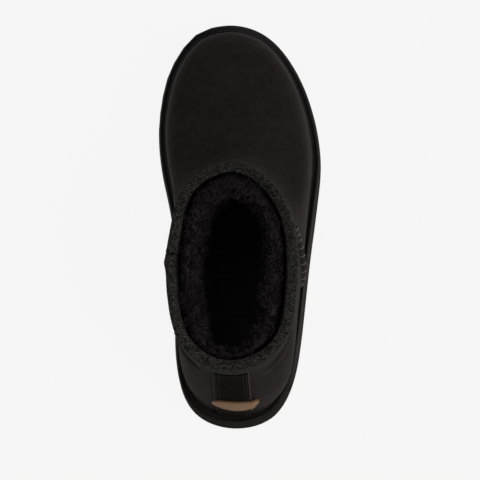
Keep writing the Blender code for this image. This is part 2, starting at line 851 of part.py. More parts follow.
def make_badge(parts, finish):
    """The bare oval leather patch low on the heel, laid over the stay and down on the upper past it."""
    centre = level_at(0.0, BADGE_CENTRE_HEIGHT)
    middle = back_column(centre, BADGE_PLACE)
    stay = stay_place(centre) - BADGE_PLACE
    wide, tall = stretch(middle, centre)
    rings = []
    for across in badge_sections(stay):
        share = min(1.0, abs(across) / (BADGE_WIDTH / 2))
        half = BADGE_HEIGHT / 2 * max(BADGE_END, math.sqrt(1.0 - share ** BADGE_OVAL))
        rises = [half * k / BADGE_STEPS for k in range(-BADGE_STEPS, BADGE_STEPS + 1)]
        near = badge_lift(across - stay)
        around = middle + across / wide
        outside = [upper_offset(around, centre + rise / tall, near + BADGE_THICKNESS) for rise in rises]
        inside = [upper_offset(around, centre + rise / tall, near) for rise in rises[::-1]]
        rings.append(outside + inside)
    return add_object("heel_badge", loft("heel_badge", rings), parts, finish)


def make_side_seam(name, side, top_place, foot_place, parts, finish):
    """A raised seam from the binding down to the midsole's lip, between two places along the sole."""
    foot_share = SOLE.share_at(side, HEEL_END + foot_place)
    top_share = binding_column(side, HEEL_END + top_place)
    path = []
    for i in range(SEAM_STEPS + 1):
        share = i / SEAM_STEPS
        around = foot_share + (top_share - foot_share) * share ** SEAM_CURVE
        low = rim_top(around)
        high = binding_foot(around) - 2 * EDGE_GAP / stretch(around, NEAR_COLLAR)[1]
        path.append((around, low + (high - low) * share))
    half = SEAM_WIDTH / 2
    outside = [(across * half, GAP + out * SEAM_THICKNESS) for across, out in SEAM_SECTION]
    section = [(-half, GAP)] + outside + [(half, GAP), (0.0, GAP)]
    return add_object(name, ribbon(name, path, section), parts, finish)


def binding_column(side, y):
    """The share round of the column that passes a place along the boot at the binding's lower edge."""
    low, high = 0.0, 1.0
    for _ in range(20):
        middle = (low + high) / 2
        if upper_point(side * middle, binding_foot(side * middle)).y < y:
            low = middle
        else:
            high = middle
    return side * (low + high) / 2


def main():
    for old in list(bpy.data.objects):
        bpy.data.objects.remove(old)
    parts = bpy.data.collections.new("sheepskin_ankle_boot")
    cutters = bpy.data.collections.new("cutters")
    for collection in (parts, cutters):
        bpy.context.scene.collection.children.link(collection)

    suede = material("black_suede", (0.016, 0.014, 0.013), 0.92)
    webbing = material("black_webbing", (0.022, 0.023, 0.021), 0.85)
    fleece = material("black_fleece", (0.012, 0.011, 0.012), 0.95)
    foam = material("black_foam", (0.014, 0.014, 0.014), 0.60)
    rubber = material("black_rubber", (0.012, 0.012, 0.012), 0.70)
    badge_leather = material("tan_leather", (0.300, 0.190, 0.105), 0.60)

    make_outsole(parts, cutters, rubber)
    make_midsole(parts, foam)
    make_insole(parts, fleece)
    make_upper(parts, suede)
    make_fleece(parts, fleece)
    make_binding(parts, webbing)
    make_stay(parts, suede)
    make_badge(parts, badge_leather)
    make_side_seam("side_seam_outer", 1, OUTER_SEAM_TOP, OUTER_SEAM_FOOT, parts, suede)
    make_side_seam("side_seam_inner", -1, INNER_SEAM_TOP, INNER_SEAM_FOOT, parts, suede)


main()
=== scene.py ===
import math

import bmesh
import bpy
import numpy as np
from bpy.props import FloatProperty, FloatVectorProperty, IntProperty, PointerProperty
from mathutils import Matrix, Vector, noise
from mathutils.bvhtree import BVHTree
from mathutils.kdtree import KDTree


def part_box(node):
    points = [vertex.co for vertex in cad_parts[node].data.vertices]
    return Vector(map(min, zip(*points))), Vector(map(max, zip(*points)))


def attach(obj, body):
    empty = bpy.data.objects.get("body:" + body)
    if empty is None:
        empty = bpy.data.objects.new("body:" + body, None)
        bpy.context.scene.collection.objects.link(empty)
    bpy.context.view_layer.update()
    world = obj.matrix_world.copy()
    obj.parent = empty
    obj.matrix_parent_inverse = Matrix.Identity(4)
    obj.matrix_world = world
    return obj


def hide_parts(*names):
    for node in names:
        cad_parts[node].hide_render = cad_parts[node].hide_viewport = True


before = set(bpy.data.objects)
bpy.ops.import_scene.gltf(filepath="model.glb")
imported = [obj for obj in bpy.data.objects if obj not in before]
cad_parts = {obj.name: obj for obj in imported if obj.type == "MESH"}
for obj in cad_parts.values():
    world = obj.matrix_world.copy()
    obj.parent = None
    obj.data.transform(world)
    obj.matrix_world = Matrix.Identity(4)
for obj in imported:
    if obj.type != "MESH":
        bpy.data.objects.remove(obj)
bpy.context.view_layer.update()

bl_info = {
    "name": "Sheepskin Ankle Boot",
    "version": (1, 0, 0),
    "blender": (4, 5, 0),
    "location": "3D View > Sidebar > Boot",
    "description": "Dresses the packed boot with suede, curly fleece, twill tape, stitches and a foam sole",
    "category": "Object",
}

MM = 0.001
SEED = 11


# Sizes and colours that a user would change

def length(name, description, default):
    """A size in metres."""
    return FloatProperty(name=name, description=description, default=default, unit="LENGTH", precision=5)


def share(name, description, default):
    """A share from 0 to 1."""
    return FloatProperty(
        name=name, description=description, default=default, min=0.0, max=1.0, subtype="FACTOR"
    )


def colour(name, description, default):
    """A colour, as red, green and blue."""
    return FloatVectorProperty(
        name=name, description=description, default=default, size=3, min=0.0, max=1.0, subtype="COLOR"
    )


def angle(name, description, degrees):
    """An angle, given in degrees."""
    return FloatProperty(name=name, description=description, default=math.radians(degrees), subtype="ANGLE")


class BootStageSettings(bpy.types.PropertyGroup):
    elevation: angle("Elevation", "How far the camera stands above the horizon", 73.0)
    azimuth: angle("Azimuth", "How far the camera is turned round the boot from behind the heel", 12.0)
    distance: length("Distance", "From the camera to the point that it looks at", 1.3832)
    target: FloatVectorProperty(
        name="Target", description="The point that the camera looks at",
        default=(0.0, -0.0036, 0.0395), subtype="XYZ"
    )
    lens: FloatProperty(name="Lens", description="Focal length on a 36 mm sensor", default=160.3)
    shift_x: FloatProperty(name="Shift across", description="Lens shift across the picture", default=0.006856)
    shift_y: FloatProperty(name="Shift up", description="Lens shift up the picture", default=-0.049175)
    floor: colour("Floor", "Pale floor", (0.90, 0.90, 0.90))
    glow: share("Floor glow", "How much of its brightness is light of its own, as on a light table", 0.96)
    sky: FloatProperty(name="Room light", description="Strength of the even light of the room", default=0.40)
    key: FloatProperty(name="Key light", description="Power of the large soft lamp, in watts", default=11.0)
    fill: FloatProperty(name="Fill light", description="Power of the second soft lamp, in watts", default=1.5)


class BootUpperSettings(bpy.types.PropertyGroup):
    dark: colour("Nap, dark", "Suede where the nap lies away from the light", (0.0044, 0.0036, 0.0034))
    light: colour("Nap, light", "Suede where the nap lies towards the light", (0.0128, 0.0102, 0.0095))
    sheen: share("Sheen", "Soft glow of the nap at a low angle", 0.25)
    crease: length("Crease", "Height of the soft ridge under the tape on each rear quarter", 0.0016)
    grain: length("Grain", "Size of the suede's fine grain", 0.0007)


class BootTapeSettings(bpy.types.PropertyGroup):
    dark: colour("Weave, dark", "Twill tape between its threads", (0.0030, 0.0032, 0.0030))
    light: colour("Weave, light", "Twill tape on its threads", (0.0540, 0.0535, 0.0495))
    thread: colour("Thread", "Sewing thread", (0.0300, 0.0295, 0.0280))
    pitch: length("Rib pitch", "Distance between the twill's ribs", 0.0016)
    column: length("Herringbone width", "Width of one column of the herringbone", 0.0034)
    stitch: length("Stitch", "Pitch of the machine stitches", 0.0030)


class BootSeamSettings(bpy.types.PropertyGroup):
    thread: colour("Thread", "Overcasting thread", (0.1150, 0.1080, 0.0980))
    pitch: length("Pitch", "Distance between overcast stitches", 0.0082)
    thickness: length("Thread thickness", "Thickness of the overcasting thread", 0.0019)


class BootFleeceSettings(bpy.types.PropertyGroup):
    # The range from dark to light carries painted shade: dark down in the pile, light at the lit tips of the
    # curls.
    dark: colour("Wool, dark", "Wool down in the pile", (0.0016, 0.0013, 0.0017))
    light: colour("Wool, light", "Wool at the tips of the curls", (0.0420, 0.0345, 0.0400))
    depth: length("Pile depth", "How thick the pile is inside the shaft", 0.0165)
    curl: length("Curl spacing", "Distance between the little curls", 0.0027)
    strand: length("Lock width", "Width of one lock of wool", 0.0009)
    locks: IntProperty(name="Locks to a curl", description="How many locks make one curl", default=6, min=1)


class BootSoleSettings(bpy.types.PropertyGroup):
    foam: colour("Foam", "Midsole foam", (0.0084, 0.0072, 0.0068))
    # This colour is painted light that lifts the shade down in the foam's grooves, not dust.
    hollow: colour("Foam, hollows", "Paler dust down in the foam's grooves", (0.0300, 0.0295, 0.0305))
    # Painted highlight along the foam's upper edge.
    wear_and_highlight: colour("Foam, worn", "Foam along its upper edge", (0.0560, 0.0500, 0.0470))
    rubber: colour("Rubber", "Outsole rubber", (0.0028, 0.0028, 0.0028))


class BootBadgeSettings(bpy.types.PropertyGroup):
    leather: colour("Leather", "Badge leather", (0.170, 0.094, 0.047))
    # Painted shade: the cut edge is darkened so that its lit top does not stand out.
    edge: colour("Cut edge", "Darker cut edge of the badge", (0.090, 0.050, 0.026))
    groove: length("Groove", "How deep the bare border is pressed in", 0.00025)


class BootSettings(bpy.types.PropertyGroup):
    stage: PointerProperty(type=BootStageSettings)
    upper: PointerProperty(type=BootUpperSettings)
    tape: PointerProperty(type=BootTapeSettings)
    seam: PointerProperty(type=BootSeamSettings)
    fleece: PointerProperty(type=BootFleeceSettings)
    sole: PointerProperty(type=BootSoleSettings)
    badge: PointerProperty(type=BootBadgeSettings)


# Picking, copying and finishing pieces

def only(piece):
    """Selects one piece alone and makes it the active one."""
    bpy.ops.object.select_all(action="DESELECT")
    piece.select_set(True)
    bpy.context.view_layer.objects.active = piece


def apply_modifier(piece, kind, **values):
    """Adds a modifier, sets it and applies it."""
    only(piece)
    modifier = piece.modifiers.new(kind.lower(), kind)
    for name, value in values.items():
        setattr(modifier, name, value)
    bpy.ops.object.modifier_apply(modifier=modifier.name)


def points_of(piece):
    """A piece's points, one to a row."""
    flat = np.empty(len(piece.data.vertices) * 3, np.float32)
    piece.data.vertices.foreach_get("co", flat)
    return flat.reshape(-1, 3).astype(float)


def normals_of(piece):
    """The way out of the surface at each of a piece's points."""
    flat = np.empty(len(piece.data.vertices) * 3, np.float32)
    piece.data.vertices.foreach_get("normal", flat)
    return flat.reshape(-1, 3).astype(float)


def set_points(piece, points):
    """Moves a piece's points."""
    piece.data.vertices.foreach_set("co", np.asarray(points, np.float32).ravel())
    piece.data.update()


def is_diagonal(edge):
    """Whether an edge splits a four-sided face in two: it is the longest side of both its triangles."""
    faces = edge.link_faces
    if len(faces) != 2 or any(len(face.verts) != 3 for face in faces):
        return False
    mine = edge.calc_length()
    sides = [side for face in faces for side in face.edges if side != edge]
    return all(side.calc_length() < mine * 0.9999 for side in sides)


def copy_node(node, name, sharp=35.0, crease=0.75):
    """A copy of a CAD node with its triangles merged into a tidy mesh of four-sided faces."""
    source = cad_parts[node]
    only(source)
    bpy.ops.object.duplicate()
    piece = bpy.context.view_layer.objects.active
    piece.parent = None
    piece.matrix_world = Matrix.Identity(4)
    piece.name = piece.data.name = name
    for key in list(piece.keys()):
        del piece[key]
    piece.data.materials.clear()
    only(piece)
    bpy.ops.object.mode_set(mode="EDIT")
    bpy.ops.mesh.select_all(action="SELECT")
    bpy.ops.mesh.remove_doubles(threshold=0.02 * MM)
    bpy.ops.mesh.select_all(action="DESELECT")
    bpy.ops.mesh.select_mode(type="EDGE")
    bpy.ops.object.mode_set(mode="OBJECT")
    work = bmesh_of(piece)
    marks = [is_diagonal(edge) for edge in work.edges]
    work.free()
    piece.data.edges.foreach_set("select", marks)
    bpy.ops.object.mode_set(mode="EDIT")
    bpy.ops.mesh.dissolve_edges(use_verts=False)
    bpy.ops.object.mode_set(mode="OBJECT")
    crease_sharp_edges(piece, math.radians(sharp), crease)
    return piece


def bmesh_of(piece):
    """A piece's mesh, to read its edges from. The caller frees it."""
    work = bmesh.new()
    work.from_mesh(piece.data)
    work.edges.ensure_lookup_table()
    return work


def crease_sharp_edges(piece, limit, weight):
    """Keeps the piece's corners when it is subdivided."""
    work = bmesh_of(piece)
    sharp = [len(edge.link_faces) == 2 and edge.calc_face_angle(0.0) > limit for edge in work.edges]
    work.free()
    layer = piece.data.attributes.new("crease_edge", "FLOAT", "EDGE")
    layer.data.foreach_set("value", weight * np.array(sharp, np.float32))


def discard(piece):
    """Removes a piece and its mesh."""
    mesh = piece.data
    bpy.data.objects.remove(piece)
    bpy.data.meshes.remove(mesh)


def turn_faces_out(piece):
    """Makes each face of a closed piece point outward."""
    only(piece)
    bpy.ops.object.mode_set(mode="EDIT")
    bpy.ops.mesh.select_all(action="SELECT")
    bpy.ops.mesh.normals_make_consistent(inside=False)
    bpy.ops.object.mode_set(mode="OBJECT")


def subdivide(piece, levels, most=0.45 * MM):
    """Subdivides a piece and keeps it as wide as it was, since subdividing alone draws a curve inward.

    A trial shows what each point would lose. That is added first, up to the most that is given.
    """
    wanted = points_of(piece)
    settings = {"levels": levels, "render_levels": levels, "boundary_smooth": "ALL"}
    trial = piece.copy()
    trial.data = piece.data.copy()
    bpy.context.scene.collection.objects.link(trial)
    apply_modifier(trial, "SUBSURF", **settings)
    lost = wanted - points_of(trial)[:len(wanted)]
    discard(trial)
    size = np.linalg.norm(lost, axis=1, keepdims=True)
    set_points(piece, wanted + lost * np.minimum(1.0, most / np.maximum(size, 1e-9)))
    apply_modifier(piece, "SUBSURF", **settings)


def finish_piece(piece, made, slot, *nodes, sharp=None):
    """Gives a piece its material, its shading and its place in the frame, and hides the CAD nodes that it
    stands for.

    Edges sharper than the angle that is given, in degrees, stay sharp.
    """
    piece.data.materials.clear()
    piece.data.materials.append(made)
    if sharp is None:
        piece.data.shade_smooth()
    else:
        only(piece)
        bpy.ops.object.shade_smooth_by_angle(angle=math.radians(sharp))
    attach(piece, "root")
    if nodes:
        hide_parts(*nodes)
    return piece


def mesh_from_triangles(name, points, triangles):
    """A new piece from arrays of points and of triangles."""
    mesh = bpy.data.meshes.new(name)
    mesh.vertices.add(len(points))
    mesh.vertices.foreach_set("co", np.asarray(points, np.float32).ravel())
    triangles = np.asarray(triangles, np.int32)
    mesh.loops.add(triangles.size)
    mesh.loops.foreach_set("vertex_index", triangles.ravel())
    mesh.polygons.add(len(triangles))
    mesh.polygons.foreach_set("loop_start", np.arange(0, triangles.size, 3, dtype=np.int32))
    mesh.update(calc_edges=True)
    mesh.validate()
    piece = bpy.data.objects.new(name, mesh)
    bpy.context.scene.collection.objects.link(piece)
    return piece


def set_attribute(piece, name, values):
    """Gives a piece a value at each point, for its material."""
    layer = piece.data.attributes.new(name, "FLOAT", "POINT")
    layer.data.foreach_set("value", np.asarray(values, np.float32))


def tree_of(node):
    """A CAD node as a surface that rays and nearest points are looked up on."""
    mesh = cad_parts[node].data
    faces = [tuple(face.vertices) for face in mesh.polygons]
    return BVHTree.FromPolygons([vertex.co.copy() for vertex in mesh.vertices], faces)


def hollows(points, normals, reach=8.0 * MM, rays=12):
    """How deep in a hollow each point lies: the share of short rays from it that meet a surface."""
    corners, faces = [], []
    for node in ("upper", "midsole", "heel_stay", "heel_badge", "side_seam_outer", "side_seam_inner"):
        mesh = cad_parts[node].data
        base = len(corners)
        corners += [vertex.co.copy() for vertex in mesh.vertices]
        faces += [tuple(i + base for i in face.vertices) for face in mesh.polygons]
    tree = BVHTree.FromPolygons(corners, faces)
    found = np.zeros(len(points))
    golden = math.pi * (3 - math.sqrt(5))
    fan = [(math.sqrt((k + 0.5) / rays), golden * k) for k in range(rays)]
    for i, (point, normal) in enumerate(zip(points, normals)):
        normal = Vector(normal)
        first = normal.orthogonal().normalized()
        second = normal.cross(first)
        start = Vector(point) + normal * 0.4 * MM
        met = 0
        for spread, turn in fan:
            aside = first * math.cos(turn) + second * math.sin(turn)
            way = normal * math.sqrt(1 - spread * spread) + aside * spread
            met += tree.ray_cast(start, way, reach)[0] is not None
        found[i] = met / rays
    return soft_step(0.15, 0.62, found)


def unit(vectors):
    """Vectors of the same ways, one unit long."""
    return vectors / np.maximum(np.linalg.norm(vectors, axis=-1, keepdims=True), 1e-12)


def soft_step(low, high, value):
    """0 below the low value and 1 above the high one, with a smooth rise between them."""
    x = np.clip((value - low) / (high - low), 0.0, 1.0)
    return x * x * (3 - 2 * x)


def hump(value, middle, width):
    """1 at the middle, with a smooth fall to both sides."""
    return np.exp(-((value - middle) / width) ** 2)


def uneven(points, *waves):
    """Smooth noise at each point, the sum of waves that each have a height and a number to the metre."""
    spots = [Vector(point) for point in points]
    return np.array([sum(high * noise.noise(spot * many) for high, many in waves) for spot in spots])


# The collar's lines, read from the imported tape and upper

class Collar:
    """The collar seen from its middle. Turn 0 is its front and a quarter turn is the outer side."""

    # Sectors that the tape is read in, and waves round the collar in the curves through its top and its foot
    SECTORS = 40
    CROWN_WAVES = 3
    FOOT_WAVES = 5

    def __init__(self):
        tape = points_of(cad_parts["collar_binding"])
        centre = (tape.max(axis=0) + tape.min(axis=0)) / 2
        self.middle = Vector((centre[0], centre[1], 0.0))
        self.wall = tree_of("upper")
        turns = self.turns(tape)
        self.crown_fit = self.fit(turns, tape[:, 2], np.max, self.CROWN_WAVES)
        outside = np.array([self.is_outside(Vector(point)) for point in tape])
        self.foot_fit = self.fit(turns[outside], tape[outside, 2], np.min, self.FOOT_WAVES)

    def turns(self, points):
        """Each point's turn round the collar's middle."""
        return np.arctan2(points[:, 0] - self.middle.x, points[:, 1] - self.middle.y)

    def is_outside(self, point):
        """Whether a point of the tape lies on the outside of the upper's wall."""
        turn = math.atan2(point.x - self.middle.x, point.y - self.middle.y)
        start = Vector((self.middle.x, self.middle.y, point.z))
        hit = self.wall.ray_cast(start, self.direction(turn))[0]
        return hit is None or (point - start).length > (hit - start).length + 2.5 * MM

    def fit(self, turns, values, pick, waves):
        """A smooth curve round the collar through the highest or the lowest values."""
        sectors = np.floor((turns + math.pi) / (2 * math.pi) * self.SECTORS).astype(int)
        rows, found = [], []
        for i in range(self.SECTORS):
            inside = values[sectors == i]
            if len(inside):
                rows.append(self.waves((i + 0.5) / self.SECTORS * 2 * math.pi - math.pi, waves))
                found.append(pick(inside))
        return np.linalg.lstsq(np.array(rows), np.array(found), rcond=None)[0]

    @staticmethod
    def waves(turn, count):
        return [1.0] + [f(k * turn) for k in range(1, count + 1) for f in (math.sin, math.cos)]

    @staticmethod
    def direction(turn):
        return Vector((math.sin(turn), math.cos(turn), 0.0))

    def crown(self, turn):
        """Height of the tape's top."""
        return float(np.dot(self.waves(turn, self.CROWN_WAVES), self.crown_fit))

    def foot(self, turn):
        """Height of the tape's lower edge on the outside."""
        return float(np.dot(self.waves(turn, self.FOOT_WAVES), self.foot_fit))

    def feet(self, points):
        """Height of the tape's lower edge at each point's turn."""
        table = np.linspace(-math.pi, math.pi, 181)
        return np.interp(self.turns(points), table, [self.foot(turn) for turn in table])

    def inner_wall(self, turn, z):
        """A point on the upper's inner wall and the way in from it."""
        start = Vector((self.middle.x, self.middle.y, z))
        hit, normal, _, _ = self.wall.ray_cast(start, self.direction(turn))
        if hit is None:
            raise RuntimeError(f"no wall at turn {turn:.2f} and height {z:.3f}")
        if normal.dot(self.direction(turn)) > 0:
            normal = -normal
        return hit, normal


# Materials

def times(tint, factor):
    """A colour made lighter or darker."""
    return tuple(part * factor for part in tint)


class Shader:
    """A material under construction: each call adds one node and links what it is given."""

    SOCKETS = {
        "colour": "Base Color", "roughness": "Roughness", "specular": "Specular IOR Level",
        "normal": "Normal", "sheen": "Sheen Weight", "sheen_roughness": "Sheen Roughness",
        "sheen_tint": "Sheen Tint",
    }

    def __init__(self, name):
        self.made = bpy.data.materials.new(name)
        self.made.use_nodes = True
        self.tree = self.made.node_tree
        self.surface = self.tree.nodes["Principled BSDF"]

    def add(self, kind, inputs=None, **settings):
        node = self.tree.nodes.new("ShaderNode" + kind)
        for name, value in settings.items():
            setattr(node, name, value)
        for name, value in (inputs or {}).items():
            self.feed(node.inputs[name], value)
        return node

    def feed(self, socket, value):
        if isinstance(value, bpy.types.NodeSocket):
            self.tree.links.new(value, socket)
        elif isinstance(socket.default_value, float):
            socket.default_value = value
        else:
            socket.default_value = value if len(value) == len(socket.default_value) else (*value, 1.0)

    def set(self, **inputs):
        for name, value in inputs.items():
            self.feed(self.surface.inputs[self.SOCKETS[name]], value)
        return self.made

    def place(self):
        return self.add("TexCoord").outputs["Object"]

    def noise(self, scale, detail=2.0, place=None, distortion=0.0):
        inputs = {"Vector": place or self.place(), "Scale": scale, "Detail": detail, "Distortion": distortion}
        return self.add("TexNoise", inputs).outputs["Fac"]

    def spread(self, value, low, high, start=0.0, end=1.0):
        inputs = {"Value": value, "From Min": low, "From Max": high, "To Min": start, "To Max": end}
        return self.add("MapRange", inputs).outputs["Result"]

    def maths(self, operation, a, b=0.0):
        node = self.add("Math", operation=operation)
        for socket, value in zip(node.inputs, (a, b)):
            self.feed(socket, value)
        return node.outputs["Value"]

    def mix(self, factor, a, b, blend="MIX"):
        node = self.add("Mix", data_type="RGBA", blend_type=blend)
        for socket, value in zip((node.inputs[0], node.inputs[6], node.inputs[7]), (factor, a, b)):
            self.feed(socket, value)
        return node.outputs[2]

    def bump(self, height, distance, strength=1.0, normal=None):
        inputs = {"Height": height, "Distance": distance, "Strength": strength}
        if normal is not None:
            inputs["Normal"] = normal
        return self.add("Bump", inputs).outputs["Normal"]

    def attribute(self, name):
        return self.add("Attribute", attribute_name=name).outputs["Fac"]


def suede_material(settings, name="black_suede", depth=1.0, glow=1.0, gloss=0.05):
    """Napped suede: broad patches where the nap lies another way, a fine grain and a soft glow, with painted
    highlights and painted shade laid over them.
    """
    s = Shader(name)
    patches = s.spread(s.noise(26.0, 3.0, distortion=0.6), 0.36, 0.66)
    streaks = s.spread(s.noise(210.0, 4.0, distortion=0.4), 0.38, 0.62)
    grain = s.noise(1.0 / settings.grain, 3.0)
    tone = s.maths("ADD", s.maths("MULTIPLY", patches, 0.5), s.maths("MULTIPLY", streaks, 0.5))
    base = s.mix(tone, times(settings.dark, depth), times(settings.light, depth))
    speckles = s.spread(grain, 0.3, 0.7, 0.0, 0.4)
    speckled = s.mix(speckles, base, times(settings.light, depth * 1.6))
    # Painted highlight: lighter suede where a piece marks it.
    scuffs_and_highlight = s.mix(s.attribute("rub"), speckled, times(settings.light, 3.2))
    # Painted shade: darker suede where a piece marks it.
    shaded = s.mix(s.attribute("recess"), scuffs_and_highlight, times(settings.dark, 0.35))
    nap = s.bump(grain, 0.25 * MM, 0.55, s.bump(streaks, 0.4 * MM, 0.25))
    return s.set(
        colour=shaded, roughness=s.spread(grain, 0.2, 0.8, 0.84, 0.98), specular=gloss, normal=nap,
        sheen=settings.sheen * glow, sheen_roughness=0.45, sheen_tint=(0.10, 0.088, 0.082),
    )


def tape_material(settings):
    """Herringbone twill tape, its ribs following the tape round the collar."""
    s = Shader("black_webbing")
    weave = s.add("UVMap", uv_map="weave").outputs["UV"]
    parts = s.add("SeparateXYZ", {"Vector": weave})
    folded = s.maths("PINGPONG", parts.outputs["Y"], settings.column)
    place = s.add("CombineXYZ", {"X": parts.outputs["X"], "Y": folded}).outputs["Vector"]
    scale = 2 * math.pi / (10 * settings.pitch)
    ribs = s.add("TexWave", {"Vector": place, "Scale": scale}, wave_type="BANDS", bands_direction="DIAGONAL")
    wear_and_highlight = s.noise(700.0, 3.0)
    patches = s.spread(s.noise(620.0, 2.0), 0.36, 0.64, 0.2, 1.6)
    height = s.maths("MULTIPLY", ribs.outputs["Fac"], s.spread(wear_and_highlight, 0.3, 0.7, 0.3, 1.0))
    tone = s.mix(s.maths("MULTIPLY", height, patches), settings.dark, settings.light)
    # Painted highlight along the tape's lower edge.
    edged = s.mix(s.attribute("selvedge"), tone, times(settings.light, 1.6))
    # Painted shadow.
    shadowed = s.mix(s.attribute("lap"), edged, times(settings.dark, 0.3))
    return s.set(
        colour=shadowed, roughness=0.82, specular=0.03, normal=s.bump(height, 0.22 * MM, 0.9),
        sheen=0.08, sheen_roughness=0.4, sheen_tint=(0.10, 0.105, 0.10),
    )


def thread_material(name, tint):
    """Twisted sewing thread."""
    s = Shader(name)
    twist = s.noise(2200.0, 1.0)
    tone = s.mix(s.spread(twist, 0.3, 0.7), times(tint, 0.5), tint)
    return s.set(colour=tone, roughness=0.7, specular=0.12, normal=s.bump(twist, 0.1 * MM, 0.6))


def fleece_material(settings):
    """Curly wool: painted shade darker down in the pile, with each lock a shade of its own."""
    s = Shader("black_fleece")
    tip = s.attribute("tip")
    fine = s.spread(s.noise(1800.0, 2.0), 0.3, 0.7, 0.6, 1.1)
    tone = s.mix(s.maths("MULTIPLY", tip, fine), settings.dark, settings.light)
    return s.set(
        colour=tone, roughness=0.55, specular=0.10, normal=s.bump(s.noise(2600.0, 2.0), 0.1 * MM, 0.5),
        sheen=0.15, sheen_roughness=0.4, sheen_tint=(0.10, 0.09, 0.10),
    )


def foam_material(settings):
    """Moulded foam: closed skin with a fine pebble, a painted highlight along its upper edge, and painted
    light that lifts the shade in its grooves.
    """
    s = Shader("black_foam")
    pebble = s.noise(1300.0, 3.0)
    scuffs = s.spread(s.noise(75.0, 4.0, distortion=0.8), 0.45, 0.7, 0.0, 0.5)
    scuffs_and_highlight = s.maths("ADD", scuffs, s.spread(pebble, 0.4, 0.8, 0.0, 0.3))
    tone = s.mix(scuffs_and_highlight, settings.foam, times(settings.foam, 1.5))
    # Painted highlight along the bead's top.
    wear_and_highlight = s.mix(s.attribute("rub"), tone, settings.wear_and_highlight)
    # Painted light in the grooves.
    shaded = s.mix(s.attribute("recess"), wear_and_highlight, settings.hollow)
    return s.set(
        colour=shaded, roughness=s.spread(pebble, 0.2, 0.8, 0.72, 0.9), specular=0.025,
        normal=s.bump(pebble, 0.12 * MM, 0.5),
    )


def rubber_material(settings):
    """Matte tread rubber with fine flow marks and dusty contact faces."""
    s = Shader("black_rubber")
    grain = s.noise(1600.0, 2.0)
    dust = s.spread(s.noise(110.0, 5.0), 0.45, 0.72, 0.0, 0.45)
    tone = s.mix(dust, settings.rubber, times(settings.rubber, 2.2))
    return s.set(
        colour=tone, roughness=s.spread(dust, 0.0, 0.45, 0.7, 0.9), specular=0.03,
        normal=s.bump(grain, 0.1 * MM, 0.5),
    )


def leather_material(settings):
    """Smooth tan leather with fine pores, with painted shade along its cut edge."""
    s = Shader("tan_leather")
    cells = s.add("TexVoronoi", {"Vector": s.place(), "Scale": 1500.0}, feature="DISTANCE_TO_EDGE")
    mottle = s.spread(s.noise(160.0, 4.0), 0.3, 0.7)
    body = s.mix(mottle, times(settings.leather, 0.86), settings.leather)
    tone = s.mix(s.attribute("cut_edge"), body, settings.edge)
    pores = s.spread(cells.outputs["Distance"], 0.0, 0.2)
    return s.set(
        colour=tone, roughness=s.spread(mottle, 0.0, 1.0, 0.52, 0.66), specular=0.09,
        normal=s.bump(pores, 0.05 * MM, 0.4),
    )


# Thread: one stitch is modelled once, and copies of it are laid along the seams

def model_stitch():
    """A short stitch, one unit long along X and standing on Z 0, that dips into the cloth at both ends."""
    bpy.ops.object.select_all(action="DESELECT")
    bpy.ops.mesh.primitive_uv_sphere_add(segments=8, ring_count=6, radius=0.5, rotation=(0, math.pi / 2, 0))
    stitch = bpy.context.view_layer.objects.active
    bpy.ops.object.transform_apply(location=True, rotation=True, scale=True)
    points = points_of(stitch)
    points[:, 2] += 0.35 - 1.5 * points[:, 0] ** 2
    set_points(stitch, points)
    return take_pattern(stitch)


def model_overcast():
    """A loop of thread over a ridge: half a ring, two units across Y and one unit high on Z."""
    bpy.ops.object.select_all(action="DESELECT")
    bpy.ops.mesh.primitive_torus_add(
        major_segments=20, minor_segments=6, major_radius=1.0, minor_radius=0.24, rotation=(0, math.pi / 2, 0)
    )
    loop = bpy.context.view_layer.objects.active
    bpy.ops.object.transform_apply(location=True, rotation=True, scale=True)
    bpy.ops.object.mode_set(mode="EDIT")
    bpy.ops.mesh.select_all(action="SELECT")
    bpy.ops.mesh.bisect(plane_co=(0, 0, -0.15), plane_no=(0, 0, 1), use_fill=True, clear_inner=True)
    bpy.ops.object.mode_set(mode="OBJECT")
    return take_pattern(loop)


def take_pattern(piece):
    """Reads a modelled thread as points and faces, and removes it from the scene."""
    points = points_of(piece)
    faces = [tuple(face.vertices) for face in piece.data.polygons]
    discard(piece)
    return points, faces


def sew(name, pattern, places, made, slot):
    """Copies of one thread at each place, as one piece. A place is a point and the three scaled axes."""
    points, faces = pattern
    every_point, every_face = [], []
    for origin, along, across, out in places:
        base = len(every_point) * len(points)
        every_point.append(points @ np.array([along, across, out]) + np.array(origin))
        every_face += [tuple(i + base for i in face) for face in faces]
    mesh = bpy.data.meshes.new(name)
    mesh.from_pydata(np.concatenate(every_point).tolist(), [], every_face)
    piece = bpy.data.objects.new(name, mesh)
    bpy.context.scene.collection.objects.link(piece)
    turn_faces_out(piece)
    return finish_piece(piece, made, slot)


def resample(points, pitch):
    """Points at an even pitch along a line, with the way along it at each."""
    points = np.asarray(points, float)
    steps = np.linalg.norm(np.diff(points, axis=0), axis=1)
    run = np.concatenate([[0.0], np.cumsum(steps)])
    count = max(2, int(run[-1] / pitch))
    wanted = (np.arange(count) + 0.5) * run[-1] / count
    spots = np.stack([np.interp(wanted, run, points[:, k]) for k in range(3)], axis=1)
    ahead = np.stack([np.interp(wanted + 0.4 * MM, run, points[:, k]) for k in range(3)], axis=1)
    behind = np.stack([np.interp(wanted - 0.4 * MM, run, points[:, k]) for k in range(3)], axis=1)
    return spots, unit(ahead - behind)


# How much of a machine stitch's pitch shows as thread
STITCH_SHARE = 0.78


def machine_stitches(line, surface, pitch, width=0.45 * MM):
    """Places for a row of machine stitches along a line on a surface."""
    places = []
    spots, ways = resample(line, pitch)
    for spot, way in zip(spots, ways):
        hit, normal, _, _ = surface.find_nearest(Vector(spot))
        way = Vector(way)
        way = (way - normal * way.dot(normal)).normalized()
        side = normal.cross(way)
        places.append((hit, way * pitch * STITCH_SHARE, side * width, normal * width))
    return places


# Operators, one for each piece or group of like pieces

